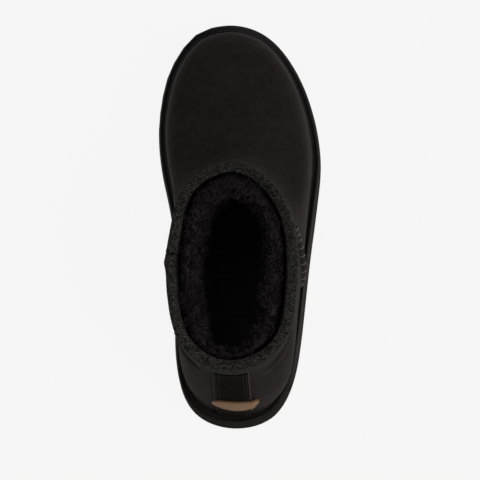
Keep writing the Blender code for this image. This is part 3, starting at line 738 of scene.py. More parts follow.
class BOOT_OT_stage(bpy.types.Operator):
    """Adds the pale floor, the soft lights and the camera"""

    bl_idname = "boot.stage"
    bl_label = "Stage, lights and camera"

    FLOOR_SIZE = 8.0
    GLOW_STRENGTH = 1.037
    WHITE = (1.0, 1.0, 1.0)
    WARM_WHITE = (1.0, 0.955, 0.92)
    LAMPS_AIM = (0.0, 0.0, 0.05)
    SENSOR_WIDTH = 36.0

    def execute(self, context):
        settings = context.scene.boot.stage
        bpy.ops.object.select_all(action="DESELECT")
        bpy.ops.mesh.primitive_plane_add(size=self.FLOOR_SIZE, location=(0, 0, 0))
        floor = context.view_layer.objects.active
        floor.name = "floor"
        paper = Shader("pale_floor")
        tone = paper.mix(paper.noise(3.0, 2.0), settings.floor, times(settings.floor, 0.99))
        paper.set(colour=tone, roughness=0.9, specular=0.0)
        lit = paper.add("Emission", {"Color": settings.floor, "Strength": self.GLOW_STRENGTH})
        parts = {0: settings.glow, 1: paper.surface.outputs["BSDF"], 2: lit.outputs["Emission"]}
        both = paper.add("MixShader", parts)
        output = paper.tree.nodes["Material Output"]
        paper.tree.links.new(both.outputs["Shader"], output.inputs["Surface"])
        floor.data.materials.append(paper.made)
        world = bpy.data.worlds.new("soft_room")
        world.use_nodes = True
        context.scene.world = world
        sky = world.node_tree.nodes["Background"]
        sky.inputs["Color"].default_value = (*self.WHITE, 1.0)
        sky.inputs["Strength"].default_value = settings.sky
        self.lamp("key_light", (0.80, -0.55, 0.95), 0.8, settings.key, self.WARM_WHITE)
        self.lamp("fill_light", (-0.55, 0.45, 1.15), 0.9, settings.fill, self.WHITE)
        self.camera(context, settings)
        context.scene.view_settings.view_transform = "Standard"
        context.scene.view_settings.look = "None"
        return {"FINISHED"}

    def lamp(self, name, place, size, power, colour):
        """One large soft lamp that faces the boot."""
        bpy.ops.object.light_add(type="AREA", location=place)
        lamp = bpy.context.view_layer.objects.active
        lamp.name = name
        lamp.data.shape = "DISK"
        lamp.data.size = size
        lamp.data.energy = power
        lamp.data.color = colour
        lamp.rotation_euler = (Vector(place) - Vector(self.LAMPS_AIM)).to_track_quat("Z", "Y").to_euler()

    def camera(self, context, settings):
        """The camera, turned so that the boot's length runs straight up the picture."""
        rise, turn = settings.elevation, settings.azimuth
        level = Vector((-math.sin(turn), math.cos(turn), 0.0))
        view = level * math.cos(rise) - Vector((0, 0, math.sin(rise)))
        flat_right = view.cross(Vector((0, 0, 1))).normalized()
        flat_up = flat_right.cross(view)
        roll = math.atan2(flat_right.y, flat_up.y)
        right = flat_right * math.cos(roll) - flat_up * math.sin(roll)
        up = flat_right * math.sin(roll) + flat_up * math.cos(roll)
        bpy.ops.object.camera_add()
        camera = context.view_layer.objects.active
        camera.name = "camera"
        axes = Matrix((right, up, -view)).transposed().to_4x4()
        camera.matrix_world = Matrix.Translation(Vector(settings.target) - view * settings.distance) @ axes
        camera.data.lens = settings.lens
        camera.data.sensor_width = self.SENSOR_WIDTH
        camera.data.shift_x = settings.shift_x
        camera.data.shift_y = settings.shift_y
        camera.data.clip_end = 20.0
        context.scene.camera = camera


# Soft forms of the upper, in the boot's own millimetres, listed as points along a ridge or a trough.
# The ridges run under the tape on the rear quarters and fade towards the stay.
REAR_RIDGES = (
    (
        (-41.5, -66.0, 62.0), (-39.5, -79.0, 70.0), (-36.0, -91.0, 77.0), (-30.4, -101.7, 82.0),
        (-25.7, -108.3, 84.5), (-22.2, -112.8, 84.0), (-17.0, -117.0, 81.0),
    ),
    (
        (40.5, -76.0, 54.0), (37.5, -88.0, 63.0), (34.2, -97.6, 70.0), (30.7, -103.9, 74.5),
        (26.1, -110.1, 78.7), (21.8, -114.5, 80.4), (16.0, -117.8, 80.3),
    ),
)
SOFT_TROUGHS = (
    # Points, depth and half width
    (((-30.0, 22.0, 80.0), (-12.0, 30.0, 82.0), (10.0, 30.0, 82.0), (30.0, 22.0, 80.0)), 0.9, 8.0),
    (((-42.0, 8.0, 52.0), (-30.0, 30.0, 62.0), (-12.0, 42.0, 68.0)), 0.7, 7.0),
    (((44.0, 8.0, 52.0), (32.0, 30.0, 62.0), (14.0, 42.0, 68.0)), 0.7, 7.0),
    (((-44.0, -60.0, 55.0), (-42.0, -35.0, 50.0), (-44.0, -12.0, 44.0)), 0.8, 8.0),
    (((44.0, -72.0, 52.0), (45.0, -50.0, 46.0)), 0.6, 7.0),
)


def line_distance(points, line):
    """Distance of each point from a line of points, and how far along the line it is, from 0 to 1."""
    run = np.concatenate([[0.0], np.cumsum(np.linalg.norm(np.diff(line, axis=0), axis=1))])
    best = np.full(len(points), np.inf)
    along = np.zeros(len(points))
    for i in range(len(line) - 1):
        span = line[i + 1] - line[i]
        part = np.clip((points - line[i]) @ span / (span @ span), 0.0, 1.0)
        away = np.linalg.norm(points - line[i] - part[:, None] * span, axis=1)
        nearer = away < best
        best[nearer] = away[nearer]
        along[nearer] = ((run[i] + part * (run[i + 1] - run[i])) / run[-1])[nearer]
    return best, along


def seam_line(node):
    """The middle of a raised seam, from the sole to the tape: its points that stand highest off the upper."""
    wall = tree_of("upper")
    found = {}
    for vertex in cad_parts[node].data.vertices:
        away = wall.find_nearest(vertex.co)[3]
        found[tuple(round(c * 1e5) for c in vertex.co)] = (away, vertex.co.copy())
    tallest = max(away for away, _ in found.values())
    ridge = sorted((co for away, co in found.values() if away > tallest * 0.96), key=lambda co: co.z)
    line = [ridge[0]]
    for co in ridge[1:]:
        if co.z > line[-1].z + 2.0 * MM:
            line.append(co)
    return np.array([tuple(co) for co in line])


def flank_pull(points, sideways):
    """How far the suede is drawn in over the sole: most on the outer side, least on the inner side."""
    low = 1 - soft_step(40 * MM, 66 * MM, points[:, 2])
    much = 1.2 + 0.2 * np.maximum(sideways, 0) - 0.9 * np.maximum(-sideways, 0)
    return much * MM * low * soft_step(-118 * MM, -90 * MM, points[:, 1])


class BOOT_OT_upper(bpy.types.Operator):
    """Makes the suede upper with its soft ridges and creases"""

    bl_idname = "boot.upper"
    bl_label = "Suede upper"

    def execute(self, context):
        settings = context.scene.boot.upper
        upper = copy_node("upper", "suede_upper", sharp=60.0)
        subdivide(upper, 2)
        points, normals = points_of(upper), normals_of(upper)
        lift, rub = self.ridges(points, settings.crease)
        lift += uneven(points, (0.35 * MM, 38.0), (0.12 * MM, 130.0)) - self.troughs(points)
        lift *= self.held_edges(points)
        level = normals * np.array([1.0, 1.0, 0.0])
        drawn_in = flank_pull(points, normals[:, 0])[:, None] * level
        outside = self.outside(points, normals)
        set_points(upper, points + (normals * lift[:, None] - drawn_in) * outside[:, None])
        # A painted highlight along the crests of the rear ridges.
        set_attribute(upper, "rub", 0.35 * rub * outside)
        # Painted shade, as laid out in shade() below.
        set_attribute(upper, "recess", np.clip(self.shade(points), 0, 1) * outside)
        finish_piece(upper, suede_material(settings), "black_suede", "upper")
        return {"FINISHED"}

    def ridges(self, points, crease):
        """Height of the soft ridges at the rear, with a shallow dip beside each, and the painted highlight
        along their crests.
        """
        lift, rub = np.zeros(len(points)), np.zeros(len(points))
        for line in REAR_RIDGES:
            away, along = line_distance(points, np.array(line) * MM)
            fade = soft_step(0.0, 0.5, along) * (1 - soft_step(0.75, 1.0, along))
            rub = np.maximum(rub, fade * hump(away, 0.0, 1.3 * MM))
            lift += crease * fade * (hump(away, 0.0, 2.2 * MM) - 0.6 * hump(away, 4.5 * MM, 2.5 * MM))
        return lift, rub

    def troughs(self, points):
        """Depth of the soft troughs."""
        depths = np.zeros(len(points))
        for line, depth, width in SOFT_TROUGHS:
            away, along = line_distance(points, np.array(line) * MM)
            fade = np.sin(np.pi * np.clip(0.1 + 0.8 * along, 0, 1))
            depths += depth * MM * fade * hump(away, 0.0, width * MM)
        return depths

    def shade(self, points):
        """Painted shade: darker suede low on the heel, just below the tape, in the slot behind the outer seam
        and low on the inner side of the heel.
        """
        x, y, z = points.T
        heel = 0.6 * (1 - soft_step(29 * MM, 35 * MM, z)) * (1 - soft_step(-118 * MM, -60 * MM, y))
        tape = 0.4 * (1 - soft_step(0.5 * MM, 5.0 * MM, COLLAR.feet(points) - z))
        line = seam_line("side_seam_outer")
        away, _ = line_distance(points, line)
        behind = (y < np.interp(z, line[:, 2], line[:, 1])) & (x > 0)
        slot = 0.9 * (1 - soft_step(3.4 * MM, 4.8 * MM, away)) * soft_step(44 * MM, 56 * MM, z) * behind
        dusk = 0.35 * (1 - soft_step(-24 * MM, -4 * MM, x)) * (1 - soft_step(34 * MM, 66 * MM, z))
        dusk *= 1 - soft_step(-112 * MM, -86 * MM, y)
        return np.maximum.reduce([heel, tape, slot, dusk])

    def held_edges(self, points):
        """The upper keeps its form where the tape and the sole hold it."""
        below_tape = 1.0 - soft_step(-3.0 * MM, 0.5 * MM, points[:, 2] - COLLAR.feet(points))
        return below_tape * soft_step(22 * MM, 30 * MM, points[:, 2])

    def outside(self, points, normals):
        """1 on the upper's outside and 0 on its lined inside."""
        middle = np.full_like(points, 30 * MM)
        middle[:, 0] = COLLAR.middle.x
        middle[:, 1] = np.clip(points[:, 1], -95 * MM, 95 * MM)
        away = np.einsum("ij,ij->i", points - middle, normals)
        return (away > 0).astype(float)


class BOOT_OT_tape(bpy.types.Operator):
    """Makes the twill tape round the collar and its row of stitches"""

    bl_idname = "boot.tape"
    bl_label = "Collar tape"

    # Where along the boot the tape's ends meet, and how far the stitches run above its lower edge
    JOINT = -47.6 * MM
    STITCH_HEIGHT = 1.3 * MM

    def execute(self, context):
        settings = context.scene.boot.tape
        tape = copy_node("collar_binding", "collar_tape", sharp=50.0)
        subdivide(tape, 2)
        self.lay_weave(tape)
        self.lap_ends(tape)
        finish_piece(tape, tape_material(settings), "black_webbing", "collar_binding")
        surface = tree_of("collar_binding")
        line = []
        for turn in np.linspace(-math.pi, math.pi, 240):
            z = COLLAR.foot(turn) + self.STITCH_HEIGHT
            start = Vector((COLLAR.middle.x, COLLAR.middle.y, z)) + COLLAR.direction(turn) * 0.3
            hit = surface.ray_cast(start, -COLLAR.direction(turn))[0]
            if hit:
                line.append(hit)
        places = machine_stitches(line, surface, settings.stitch)
        thread = thread_material("tape_thread", settings.thread)
        sew("tape_stitches", model_stitch(), places, thread, "black_webbing")
        return {"FINISHED"}

    def lap_ends(self, tape):
        """The ends meet on the inner side, in a notch between two small folds. The lower edge gets a painted
        highlight; the notch, the inward side at the front and outer side, and the rear get painted shadow.
        """
        points, normals = points_of(tape), normals_of(tape)
        x, y, z = points.T
        away, inner_side = y - self.JOINT, x < 0
        fold = hump(away, -5.0 * MM, 3.0 * MM) + 0.4 * hump(away, 2.0 * MM, 1.5 * MM)
        notch = hump(away, 0.0, 0.6 * MM)
        outward = unit(points[:, :2] - np.array(COLLAR.middle)[:2])
        facing = np.einsum("ij,ij->i", outward, normals[:, :2])
        outside, inward = facing > 0, soft_step(0.0, 0.6, -facing)
        front, rear = soft_step(-35 * MM, -10 * MM, y), 1 - soft_step(-108 * MM, -80 * MM, y)
        edge = 1 - soft_step(0.5 * MM, 1.4 * MM, z - self.lower_edge(points, facing > 0.5))
        # A painted highlight along the tape's lower outer edge, faint at the rear.
        set_attribute(tape, "selvedge", edge * outside * (1 - 0.85 * rear))
        stepped = (1 - soft_step(-1.0 * MM, 1.0 * MM, away)) * soft_step(-48 * MM, -20 * MM, away)
        lift = (0.7 * fold * outside - notch - stepped * inward) * inner_side - 0.9 * front * inward
        set_points(tape, points + normals * (lift * MM)[:, None])
        shadow = 0.35 * soft_step(-0.5, 0.6, -facing) * np.maximum(front, soft_step(-5 * MM, 20 * MM, x))
        shadow += 0.30 * soft_step(0.2, 0.9, facing) * rear
        # Painted shadow in the notch, on the inward side at the front and outer side, and at the rear.
        set_attribute(tape, "lap", np.maximum(notch * inner_side, shadow))

    def lower_edge(self, points, outer):
        """Height of the tape's lower edge on the outside, at each point's turn."""
        turns, count = COLLAR.turns(points), 90
        step = 2 * math.pi / count
        sectors = np.floor((turns + math.pi) / step).astype(int) % count
        lowest = np.array([points[outer & (sectors == k), 2].min() for k in range(count)])
        middles = (np.arange(count) + 0.5) * step - math.pi
        return np.interp(turns, middles, lowest, period=2 * math.pi)

    def lay_weave(self, tape):
        """A map that runs along the tape and across its fold, in metres."""
        points = points_of(tape)
        offset = points[:, :2] - np.array(COLLAR.middle)[:2]
        turns = COLLAR.turns(points)
        table = np.linspace(-math.pi, math.pi, 361)
        rim = np.array([COLLAR.crown(turn) for turn in table])
        mid = np.array([self.fold_middle(turn) for turn in table])
        line = np.stack([np.sin(table) * mid, np.cos(table) * mid], axis=1)
        run = np.concatenate([[0.0], np.cumsum(np.linalg.norm(np.diff(line, axis=0), axis=1))])
        out = np.hypot(offset[:, 0], offset[:, 1]) - np.interp(turns, table, mid)
        down = np.interp(turns, table, rim) - points[:, 2]
        across = np.clip(out, -3 * MM, 3 * MM) + np.sign(out) * np.maximum(0.0, down)
        along = np.interp(turns, table, run)
        layer = tape.data.uv_layers.new(name="weave")
        corners = np.empty(len(tape.data.loops), np.int32)
        tape.data.loops.foreach_get("vertex_index", corners)
        layer.data.foreach_set("uv", np.stack([along, across], axis=1)[corners].astype(np.float32).ravel())

    def fold_middle(self, turn):
        """How far from the collar's middle the tape folds over the upper's edge."""
        hit, _ = COLLAR.inner_wall(turn, COLLAR.crown(turn) - 3.0 * MM)
        return math.hypot(hit.x - COLLAR.middle.x, hit.y - COLLAR.middle.y) + 2.1 * MM


class BOOT_OT_seams(bpy.types.Operator):
    """Makes the raised side seams and the thread that is whipped over them"""

    bl_idname = "boot.seams"
    bl_label = "Side seams"

    # The whipped thread: its slant, half its span over the seam, how deep its feet go into the suede, and
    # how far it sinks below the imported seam's top
    SLANT = 0.35
    HALF_SPAN = 1.25 * MM
    FOOT_DEPTH = 0.7 * MM
    TOP_SUNK = 0.3 * MM

    # The seam at a stitch and between two: how wide it stays, and how much of its height it loses
    WIDTHS = (0.30, 0.50)
    LOSSES = (0.42, -0.10)
    BASE_SUNK = 1.4 * MM

    def execute(self, context):
        settings = context.scene.boot.seam
        # The seams' suede is a lighter copy of the upper's: a painted highlight on the raised seams.
        suede = suede_material(context.scene.boot.upper, "seam_suede", 1.9)
        thread = thread_material("seam_thread", settings.thread)
        loop = model_overcast()
        wall = tree_of("upper")
        for node, name in (("side_seam_outer", "outer_seam"), ("side_seam_inner", "inner_seam")):
            ridge = copy_node(node, name, sharp=80.0)
            subdivide(ridge, 3)
            line = seam_line(node)
            spots, ways = resample(line, settings.pitch)
            self.pinch(ridge, wall, line, spots, settings.pitch)
            finish_piece(ridge, suede, "black_suede", node)
            places = [self.whip(wall, Vector(a), Vector(b), settings.thickness) for a, b in zip(spots, ways)]
            sew(name + "_thread", loop, places, thread, "black_suede")
        return {"FINISHED"}

    def whip(self, wall, spot, way, thickness):
        """The place of one loop of thread over the seam, a little slanted, with its feet in the suede."""
        root = wall.find_nearest(spot)[0]
        out = (spot - root).normalized()
        slant = (way + out.cross(way).normalized() * self.SLANT).normalized()
        across = out.cross(slant).normalized()
        pull = flank_pull(np.array([spot]), np.array([out.x]))[0]
        height = (spot - root).length + self.FOOT_DEPTH - self.TOP_SUNK
        foot = root - out * (self.FOOT_DEPTH + pull)
        return foot, slant * thickness * 2.1, across * self.HALF_SPAN, out * height

    def pinch(self, ridge, wall, line, spots, pitch):
        """Makes the seam narrow, drawn in under each stitch and puffed out between two, its foot sunk."""
        points = points_of(ridge)
        heights = points[:, 2]
        middles = np.stack([np.interp(heights, line[:, 2], line[:, k]) for k in range(3)], axis=1)
        from_stitch = np.min(np.abs(heights[:, None] - spots[None, :, 2]), axis=1)
        puffs = np.sin(np.clip(from_stitch / (pitch * 0.5), 0, 1) * math.pi / 2) ** 0.8
        moved = points.copy()
        for i, puff in enumerate(puffs):
            middle = Vector(middles[i])
            root = wall.find_nearest(middle)[0]
            full = (middle - root).length
            out = (middle - root).normalized()
            offset = Vector(points[i]) - middle
            rise = offset.dot(out)
            across = offset - out * rise
            base = 1 - min(1.0, max(0.0, (full + rise) / (0.4 * full)))
            sink = (full + rise) * np.interp(puff, (0, 1), self.LOSSES) + self.BASE_SUNK * base
            pull = flank_pull(middles[i:i + 1], np.array([out.x]))[0]
            moved[i] = middle + across * np.interp(puff, (0, 1), self.WIDTHS) + out * (rise - sink - pull)
        set_points(ridge, moved)


class BOOT_OT_stay(bpy.types.Operator):
    """Makes the strip up the back of the heel and its stitches"""

    bl_idname = "boot.stay"
    bl_label = "Heel stay"

    def execute(self, context):
        upper = context.scene.boot.upper
        stay = copy_node("heel_stay", "heel_stay_suede", sharp=50.0)
        subdivide(stay, 2)
        points = points_of(stay)
        low_down = 1 - soft_step(30 * MM, 36 * MM, points[:, 2])
        # Painted highlights along the strip's long edges, and painted shade low down near the sole.
        scuffs_and_highlight = 1 - soft_step(0.3 * MM, 0.9 * MM, self.from_edge(points))
        set_attribute(stay, "rub", scuffs_and_highlight * (1 - low_down))
        set_attribute(stay, "recess", 0.7 * low_down)
        suede = suede_material(upper, "stay_suede", depth=0.3, glow=0.3, gloss=0.02)
        finish_piece(stay, suede, "black_suede", "heel_stay", sharp=50.0)
        surface = tree_of("heel_stay")
        low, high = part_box("heel_stay")
        corners = points_of(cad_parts["heel_stay"])
        places = []
        for side in (-1, 1):
            for inset in (1.8 * MM, 3.6 * MM):
                line = []
                for z in np.linspace(low.z + 2 * MM, high.z - 1.2 * MM, 40):
                    near = corners[np.abs(corners[:, 2] - z) < 4.0 * MM]
                    x = (near[:, 0].min() + inset) if side < 0 else (near[:, 0].max() - inset)
                    hit = surface.ray_cast(Vector((x, -0.3, z)), Vector((0, 1, 0)))[0]
                    if hit:
                        line.append(hit)
                places += machine_stitches(line, surface, 2.6 * MM, 0.42 * MM)
        thread = thread_material("stay_thread", times(context.scene.boot.tape.thread, 0.6))
        sew("stay_stitches", model_stitch(), places, thread, "black_suede")
        return {"FINISHED"}

    def from_edge(self, points):
        """How far each point is from the strip's nearer long edge."""
        bands = np.round(points[:, 2] / (2 * MM)).astype(int)
        found = np.zeros(len(points))
        for band in np.unique(bands):
            row = bands == band
            across = points[row, 0]
            found[row] = np.minimum(across - across.min(), across.max() - across)
        return found


class BOOT_OT_badge(bpy.types.Operator):
    """Makes the bare leather badge with its pressed border"""

    bl_idname = "boot.badge"
    bl_label = "Heel badge"

    def execute(self, context):
        settings = context.scene.boot.badge
        badge = copy_node("heel_badge", "leather_badge", sharp=45.0, crease=1.0)
        rim = self.rim_points(badge)
        subdivide(badge, 3)
        points, normals = points_of(badge), normals_of(badge)
        tree = KDTree(len(rim))
        for i, point in enumerate(rim):
            tree.insert(Vector(point), i)
        tree.balance()
        away = np.array([tree.find(Vector(point))[2] for point in points])
        faces_out = normals[:, 1] < -0.3
        sunk = settings.groove * hump(away, 2.0 * MM, 0.35 * MM) + 0.15 * MM
        set_points(badge, points - normals * (sunk * faces_out)[:, None])
        # Painted shade on the cut edge and just inside it.
        set_attribute(badge, "cut_edge", 1.0 - soft_step(0.1 * MM, 0.7 * MM, away) * faces_out)
        finish_piece(badge, leather_material(settings), "tan_leather", "heel_badge", sharp=50.0)
        return {"FINISHED"}

    def rim_points(self, badge):
        """Points along the badge's sharp outer rim."""
        work = bmesh_of(badge)
        found = []
        for edge in work.edges:
            if edge.calc_face_angle(0.0) > math.radians(45):
                a, b = edge.verts
                found += [a.co.lerp(b.co, k / 6) for k in range(7)]
        work.free()
        return found


class BOOT_OT_sole(bpy.types.Operator):
    """Smooths the foam midsole and finishes the rubber outsole"""

    bl_idname = "boot.sole"
    bl_label = "Sole"

    def execute(self, context):
        settings = context.scene.boot.sole
        midsole = copy_node("midsole", "foam_midsole", sharp=24.0)
        subdivide(midsole, 2, 0.8 * MM)
        points, normals = points_of(midsole), normals_of(midsole)
        x, y, z = points.T
        rear = 1 - soft_step(-118 * MM, -85 * MM, y)
        # Painted light in the foam's hollows that lifts their shade, with less of it at the heel.
        less_painted_fill = 0.85 * rear * (1 - soft_step(6 * MM, 22 * MM, x))
        set_attribute(midsole, "recess", hollows(points, normals) * (1 - less_painted_fill))
        middle = np.stack([0 * y, np.clip(y, -90 * MM, 90 * MM)], axis=1)
        outward = np.einsum("ij,ij->i", unit(points[:, :2] - middle), normals[:, :2])
        # A painted highlight on the bead's top, where it faces up and out, stronger on the inner side.
        bead = (0.4 + 0.6 * soft_step(0.1, 0.7, outward)) * soft_step(8 * MM, 14 * MM, z)
        bead *= soft_step(0.02, 0.25, normals[:, 2]) * (1 - 0.5 * soft_step(-45 * MM, -10 * MM, x))
        set_attribute(midsole, "rub", bead * (1 - 0.9 * rear))
        finish_piece(midsole, foam_material(settings), "black_foam", "midsole", sharp=40.0)
        outsole = copy_node("outsole", "rubber_outsole", sharp=30.0, crease=0.9)
        subdivide(outsole, 2, 0.8 * MM)
        finish_piece(outsole, rubber_material(settings), "black_rubber", "outsole", sharp=40.0)
        return {"FINISHED"}


class BOOT_OT_lining(bpy.types.Operator):
    """Makes the curly fleece that lines the shaft and the foot"""

    bl_idname = "boot.lining"
    bl_label = "Fleece lining"

    # The pile's mesh: points round the collar, rings down its inside below the roll, those of them that
    # have curls, and rings back up along the upper's wall
    TURNS = 256
    DROP_RINGS = 36
    CURLY_RINGS = 30
    BACK_RINGS = 13

    # Pieces that the locks are shared between, and the rings and sides of one lock
    PIECES = 4
    LOCK_RINGS = 6
    LOCK_SIDES = 3

    # The pile rolls in from the tape: how far in from the wall and how far below the tape's top, in mm
    ROLL = (
        (1.7, 11.0), (2.3, 9.0), (3.4, 6.8), (5.0, 4.9), (6.9, 3.7), (8.9, 3.2), (10.8, 3.6),
        (12.6, 5.0), (13.9, 7.0), (14.8, 9.5), (15.5, 12.4), (16.1, 16.0),
    )

    def execute(self, context):
        settings = context.scene.boot.fleece
        rows = self.rows(settings)
        bpy.ops.object.select_all(action="DESELECT")
        bpy.ops.mesh.primitive_torus_add(major_segments=self.TURNS, minor_segments=len(rows))
        base = context.view_layer.objects.active
        base.name = base.data.name = "fleece_pile"
        grid = np.stack(rows, axis=1)
        set_points(base, grid.reshape(-1, 3))
        turn_faces_out(base)
        self.lump(base)
        fleece = fleece_material(settings)
        finish_piece(base, fleece, "black_fleece", "fleece_lining")
        self.curls(settings, grid, fleece)
        return {"FINISHED"}

    # How full the roll is round the collar: degrees from its front towards the outer side, and a share
    FULLNESS = (
        (-180, 0.42), (-163, 0.50), (-144, 0.80), (-123, 0.76), (-95, 0.69), (-57, 0.75), (-25, 0.83),
        (0, 0.93), (20, 0.79), (43, 0.70), (65, 0.82), (90, 0.91), (115, 0.93), (140, 0.90), (165, 0.48),
        (180, 0.42),
    )

    def thickness(self, turn):
        """How full the roll is at a turn, as a share of the pile's depth."""
        degrees, shares = zip(*self.FULLNESS)
        spread = [math.degrees(turn) + step for step in (-8, -4, 0, 4, 8)]
        return float(np.mean([np.interp((way + 180) % 360 - 180, degrees, shares) for way in spread]))

    def rows(self, settings):
        """Rings of the pile: over the roll, down its inside, and back up along the upper's wall."""
        turns = np.linspace(-math.pi, math.pi, self.TURNS, endpoint=False)
        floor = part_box("insole")[1].z - 3 * MM
        rows = [[self.roll_point(turn, *place, settings.depth) for turn in turns] for place in self.ROLL]
        edge = rows[-1]
        for i in range(1, self.DROP_RINGS + 1):
            down = i / self.DROP_RINGS
            rows.append([self.drop_point(*at, down, floor, settings.depth) for at in zip(turns, edge)])
        for i in range(self.BACK_RINGS):
            up = i / (self.BACK_RINGS - 1)
            rows.append([self.back_point(turn, up, floor) for turn in turns])
        return [np.array([tuple(point) for point in row]) for row in rows]

    def roll_point(self, turn, inward, below, depth):
        """A point of the roll over the collar, in mm in from the wall and below the tape's top."""
        crown = COLLAR.crown(turn)
        hit, way = COLLAR.inner_wall(turn, crown - max(below, 5.0) * MM)
        flat = Vector((way.x, way.y, 0)).normalized()
        first = 1.5
        reach = first + (inward - first) * self.thickness(turn) * depth / (self.ROLL[-1][0] * MM)
        return Vector((hit.x, hit.y, crown - below * MM)) + flat * reach * MM

    def drop_point(self, turn, edge, down, floor, depth):
        """A point of the pile's inside: it hangs straight from the roll's edge, then follows the wall."""
        start = COLLAR.crown(turn) - self.ROLL[-1][1] * MM
        z = start + (floor - start) * down
        hit, way = COLLAR.inner_wall(turn, z)
        full = depth * self.thickness(turn)
        reach = full + (6 * MM - full) * float(soft_step(0.1, 0.75, down))
        spot = hit + way * reach
        straight = Vector((edge.x, edge.y, z))
        if (straight - spot).dot(way) > 0:
            spot = spot.lerp(straight, 1.0 - float(soft_step(20 * MM, 50 * MM, start - z)))
        return spot

    def back_point(self, turn, up, floor):
        """A point just inside the upper's wall, where the pile is rooted."""
        top = COLLAR.crown(turn) - 7.5 * MM
        hit, way = COLLAR.inner_wall(turn, floor + (top - floor) * up)
        return hit + way * 0.45 * MM

    def lump(self, base):
        """Uneven tufts on the pile's surface."""
        points, normals = points_of(base), normals_of(base)
        lift = uneven(points, (0.9 * MM, 150.0), (0.6 * MM, 420.0))
        front = len(self.ROLL) + self.DROP_RINGS
        ring = np.arange(len(points)) % (front + self.BACK_RINGS)
        shown = (ring > 1) & (ring < front)
        set_points(base, points + normals * (lift * shown)[:, None])
        # The pile under the curls is in painted shade.
        set_attribute(base, "tip", np.full(len(points), 0.2))

    def curls(self, settings, grid, made):
        """Little curls of several locks each, over the part of the pile that shows, and few far down."""
        rng = np.random.default_rng(SEED)
        shown = grid[:, 1:len(self.ROLL) + self.CURLY_RINGS]
        beside = np.roll(shown, -1, axis=0)
        ring = np.linalg.norm(beside - shown, axis=2)
        drop = np.linalg.norm(np.diff(shown, axis=1), axis=2)
        cells = ring[:, :-1] * drop
        chance = cells.ravel() / cells.sum()
        wanted = int(cells.sum() / settings.curl ** 2)
        picked = rng.choice(chance.size, size=wanted, p=chance, replace=True)
        i, j = np.divmod(picked, cells.shape[1])
        a, b = rng.random((2, wanted, 1))
        near = shown[i, j] * (1 - a) + beside[i, j] * a
        far = shown[i, j + 1] * (1 - a) + beside[i, j + 1] * a
        roots = near * (1 - b) + far * b
        round_way = unit(beside[i, j] - shown[i, j])
        down_way = unit(shown[i, j + 1] - shown[i, j])
        out = unit(np.cross(round_way, down_way))
        inward = np.array(COLLAR.middle) - roots
        inward[:, 2] = 40 * MM
        out *= np.sign(np.einsum("ij,ij->i", out, inward))[:, None]
        deep = COLLAR.crown(0.0) - roots[:, 2]
        kept = rng.random(wanted) > 0.68 * soft_step(16 * MM, 30 * MM, deep)
        roots, out, down_way, deep = roots[kept], out[kept], down_way[kept], deep[kept]
        # Painted shade: curls darker deeper in the shaft and next to the tape.
        light = 1.0 - 0.88 * soft_step(9 * MM, 24 * MM, deep)
        light *= 0.3 + 0.7 * soft_step(3.0 * MM, 8.5 * MM, self.from_wall(roots))
        for k, part in enumerate(np.array_split(np.argsort(deep), self.PIECES)):
            name = f"fleece_curls_{k + 1}"
            self.grow(name, settings, made, rng, roots[part], out[part], down_way[part], light[part])

    def from_wall(self, roots):
        """How far each root is from the upper's wall just below the collar's top, seen from above."""
        turns = COLLAR.turns(roots)
        walls = [COLLAR.inner_wall(turn, COLLAR.crown(turn) - 5 * MM)[0] for turn in turns]
        return np.array([math.hypot(wall.x - root[0], wall.y - root[1]) for wall, root in zip(walls, roots)])

    def grow(self, name, settings, made, rng, roots, out, down, light):
        """Locks of wool as one piece. The locks of a curl wind together."""
        locks, rings = settings.locks, self.LOCK_RINGS
        curls, count = len(roots), len(roots) * settings.locks
        phase = np.repeat(rng.random(curls) * 2 * math.pi, locks) + rng.normal(0, 0.5, count)
        wind = np.repeat(rng.choice([-1.0, 1.0], curls), locks) * rng.uniform(3.2, 5.6, count)
        size = np.repeat(rng.uniform(0.8, 1.3, curls), locks)
        tufts = soft_step(-0.45, 0.45, uneven(roots, (1.0, 190.0), (0.7, 420.0)))
        # Each curl's tone is partly random, with painted shade between the tufts.
        shade = np.repeat(rng.uniform(0.45, 1.0, curls) * (0.12 + 0.95 * tufts), locks)
        shade *= rng.uniform(0.75, 1.0, count)
        root, out, down = (np.repeat(each, locks, axis=0) for each in (roots, out, down))
        side = unit(np.cross(out, down))
        jitter = rng.normal(0, 0.42, (count, 2)) * settings.curl
        root = root + down * jitter[:, :1] + side * jitter[:, 1:]
        lean = unit(rng.normal(0, 1, (count, 3)) * 0.5 + down * 0.35)
        height = rng.uniform(1.6, 3.0, count) * MM * size * np.repeat(0.55 + 0.75 * tufts, locks)
        curl = rng.uniform(0.7, 1.25, count) * MM * size
        u = np.linspace(0, 1, rings)[None, :, None]
        height, curl, first_turn = height[:, None, None], curl[:, None, None], phase[:, None, None]
        turn = first_turn + wind[:, None, None] * u
        line = root[:, None] - out[:, None] * 0.5 * MM
        line = line + out[:, None] * height * (1 - (1 - u) ** 1.6) + lean[:, None] * height * 0.55 * u ** 2
        winding = side[:, None] * (np.cos(turn) - np.cos(first_turn))
        winding = winding + down[:, None] * (np.sin(turn) - np.sin(first_turn))
        line = line + curl * np.sqrt(u + 0.02) * winding
        width = settings.strand / 2 * (1.0 - 0.72 * u ** 2.2) * rng.uniform(0.75, 1.25, count)[:, None, None]
        points = self.lock_points(line, lean, width)
        first_points = np.arange(count) * rings * self.LOCK_SIDES
        every = first_points[:, None, None] + self.lock_faces()[None]
        piece = mesh_from_triangles(name, points, every.reshape(-1, 3))
        # Painted shade from each lock's root to its tip.
        tip = np.linspace(0.15, 1.0, rings)[None, :] * (shade * np.repeat(light, locks))[:, None]
        set_attribute(piece, "tip", np.repeat(tip.ravel(), self.LOCK_SIDES))
        finish_piece(piece, made, "black_fleece")

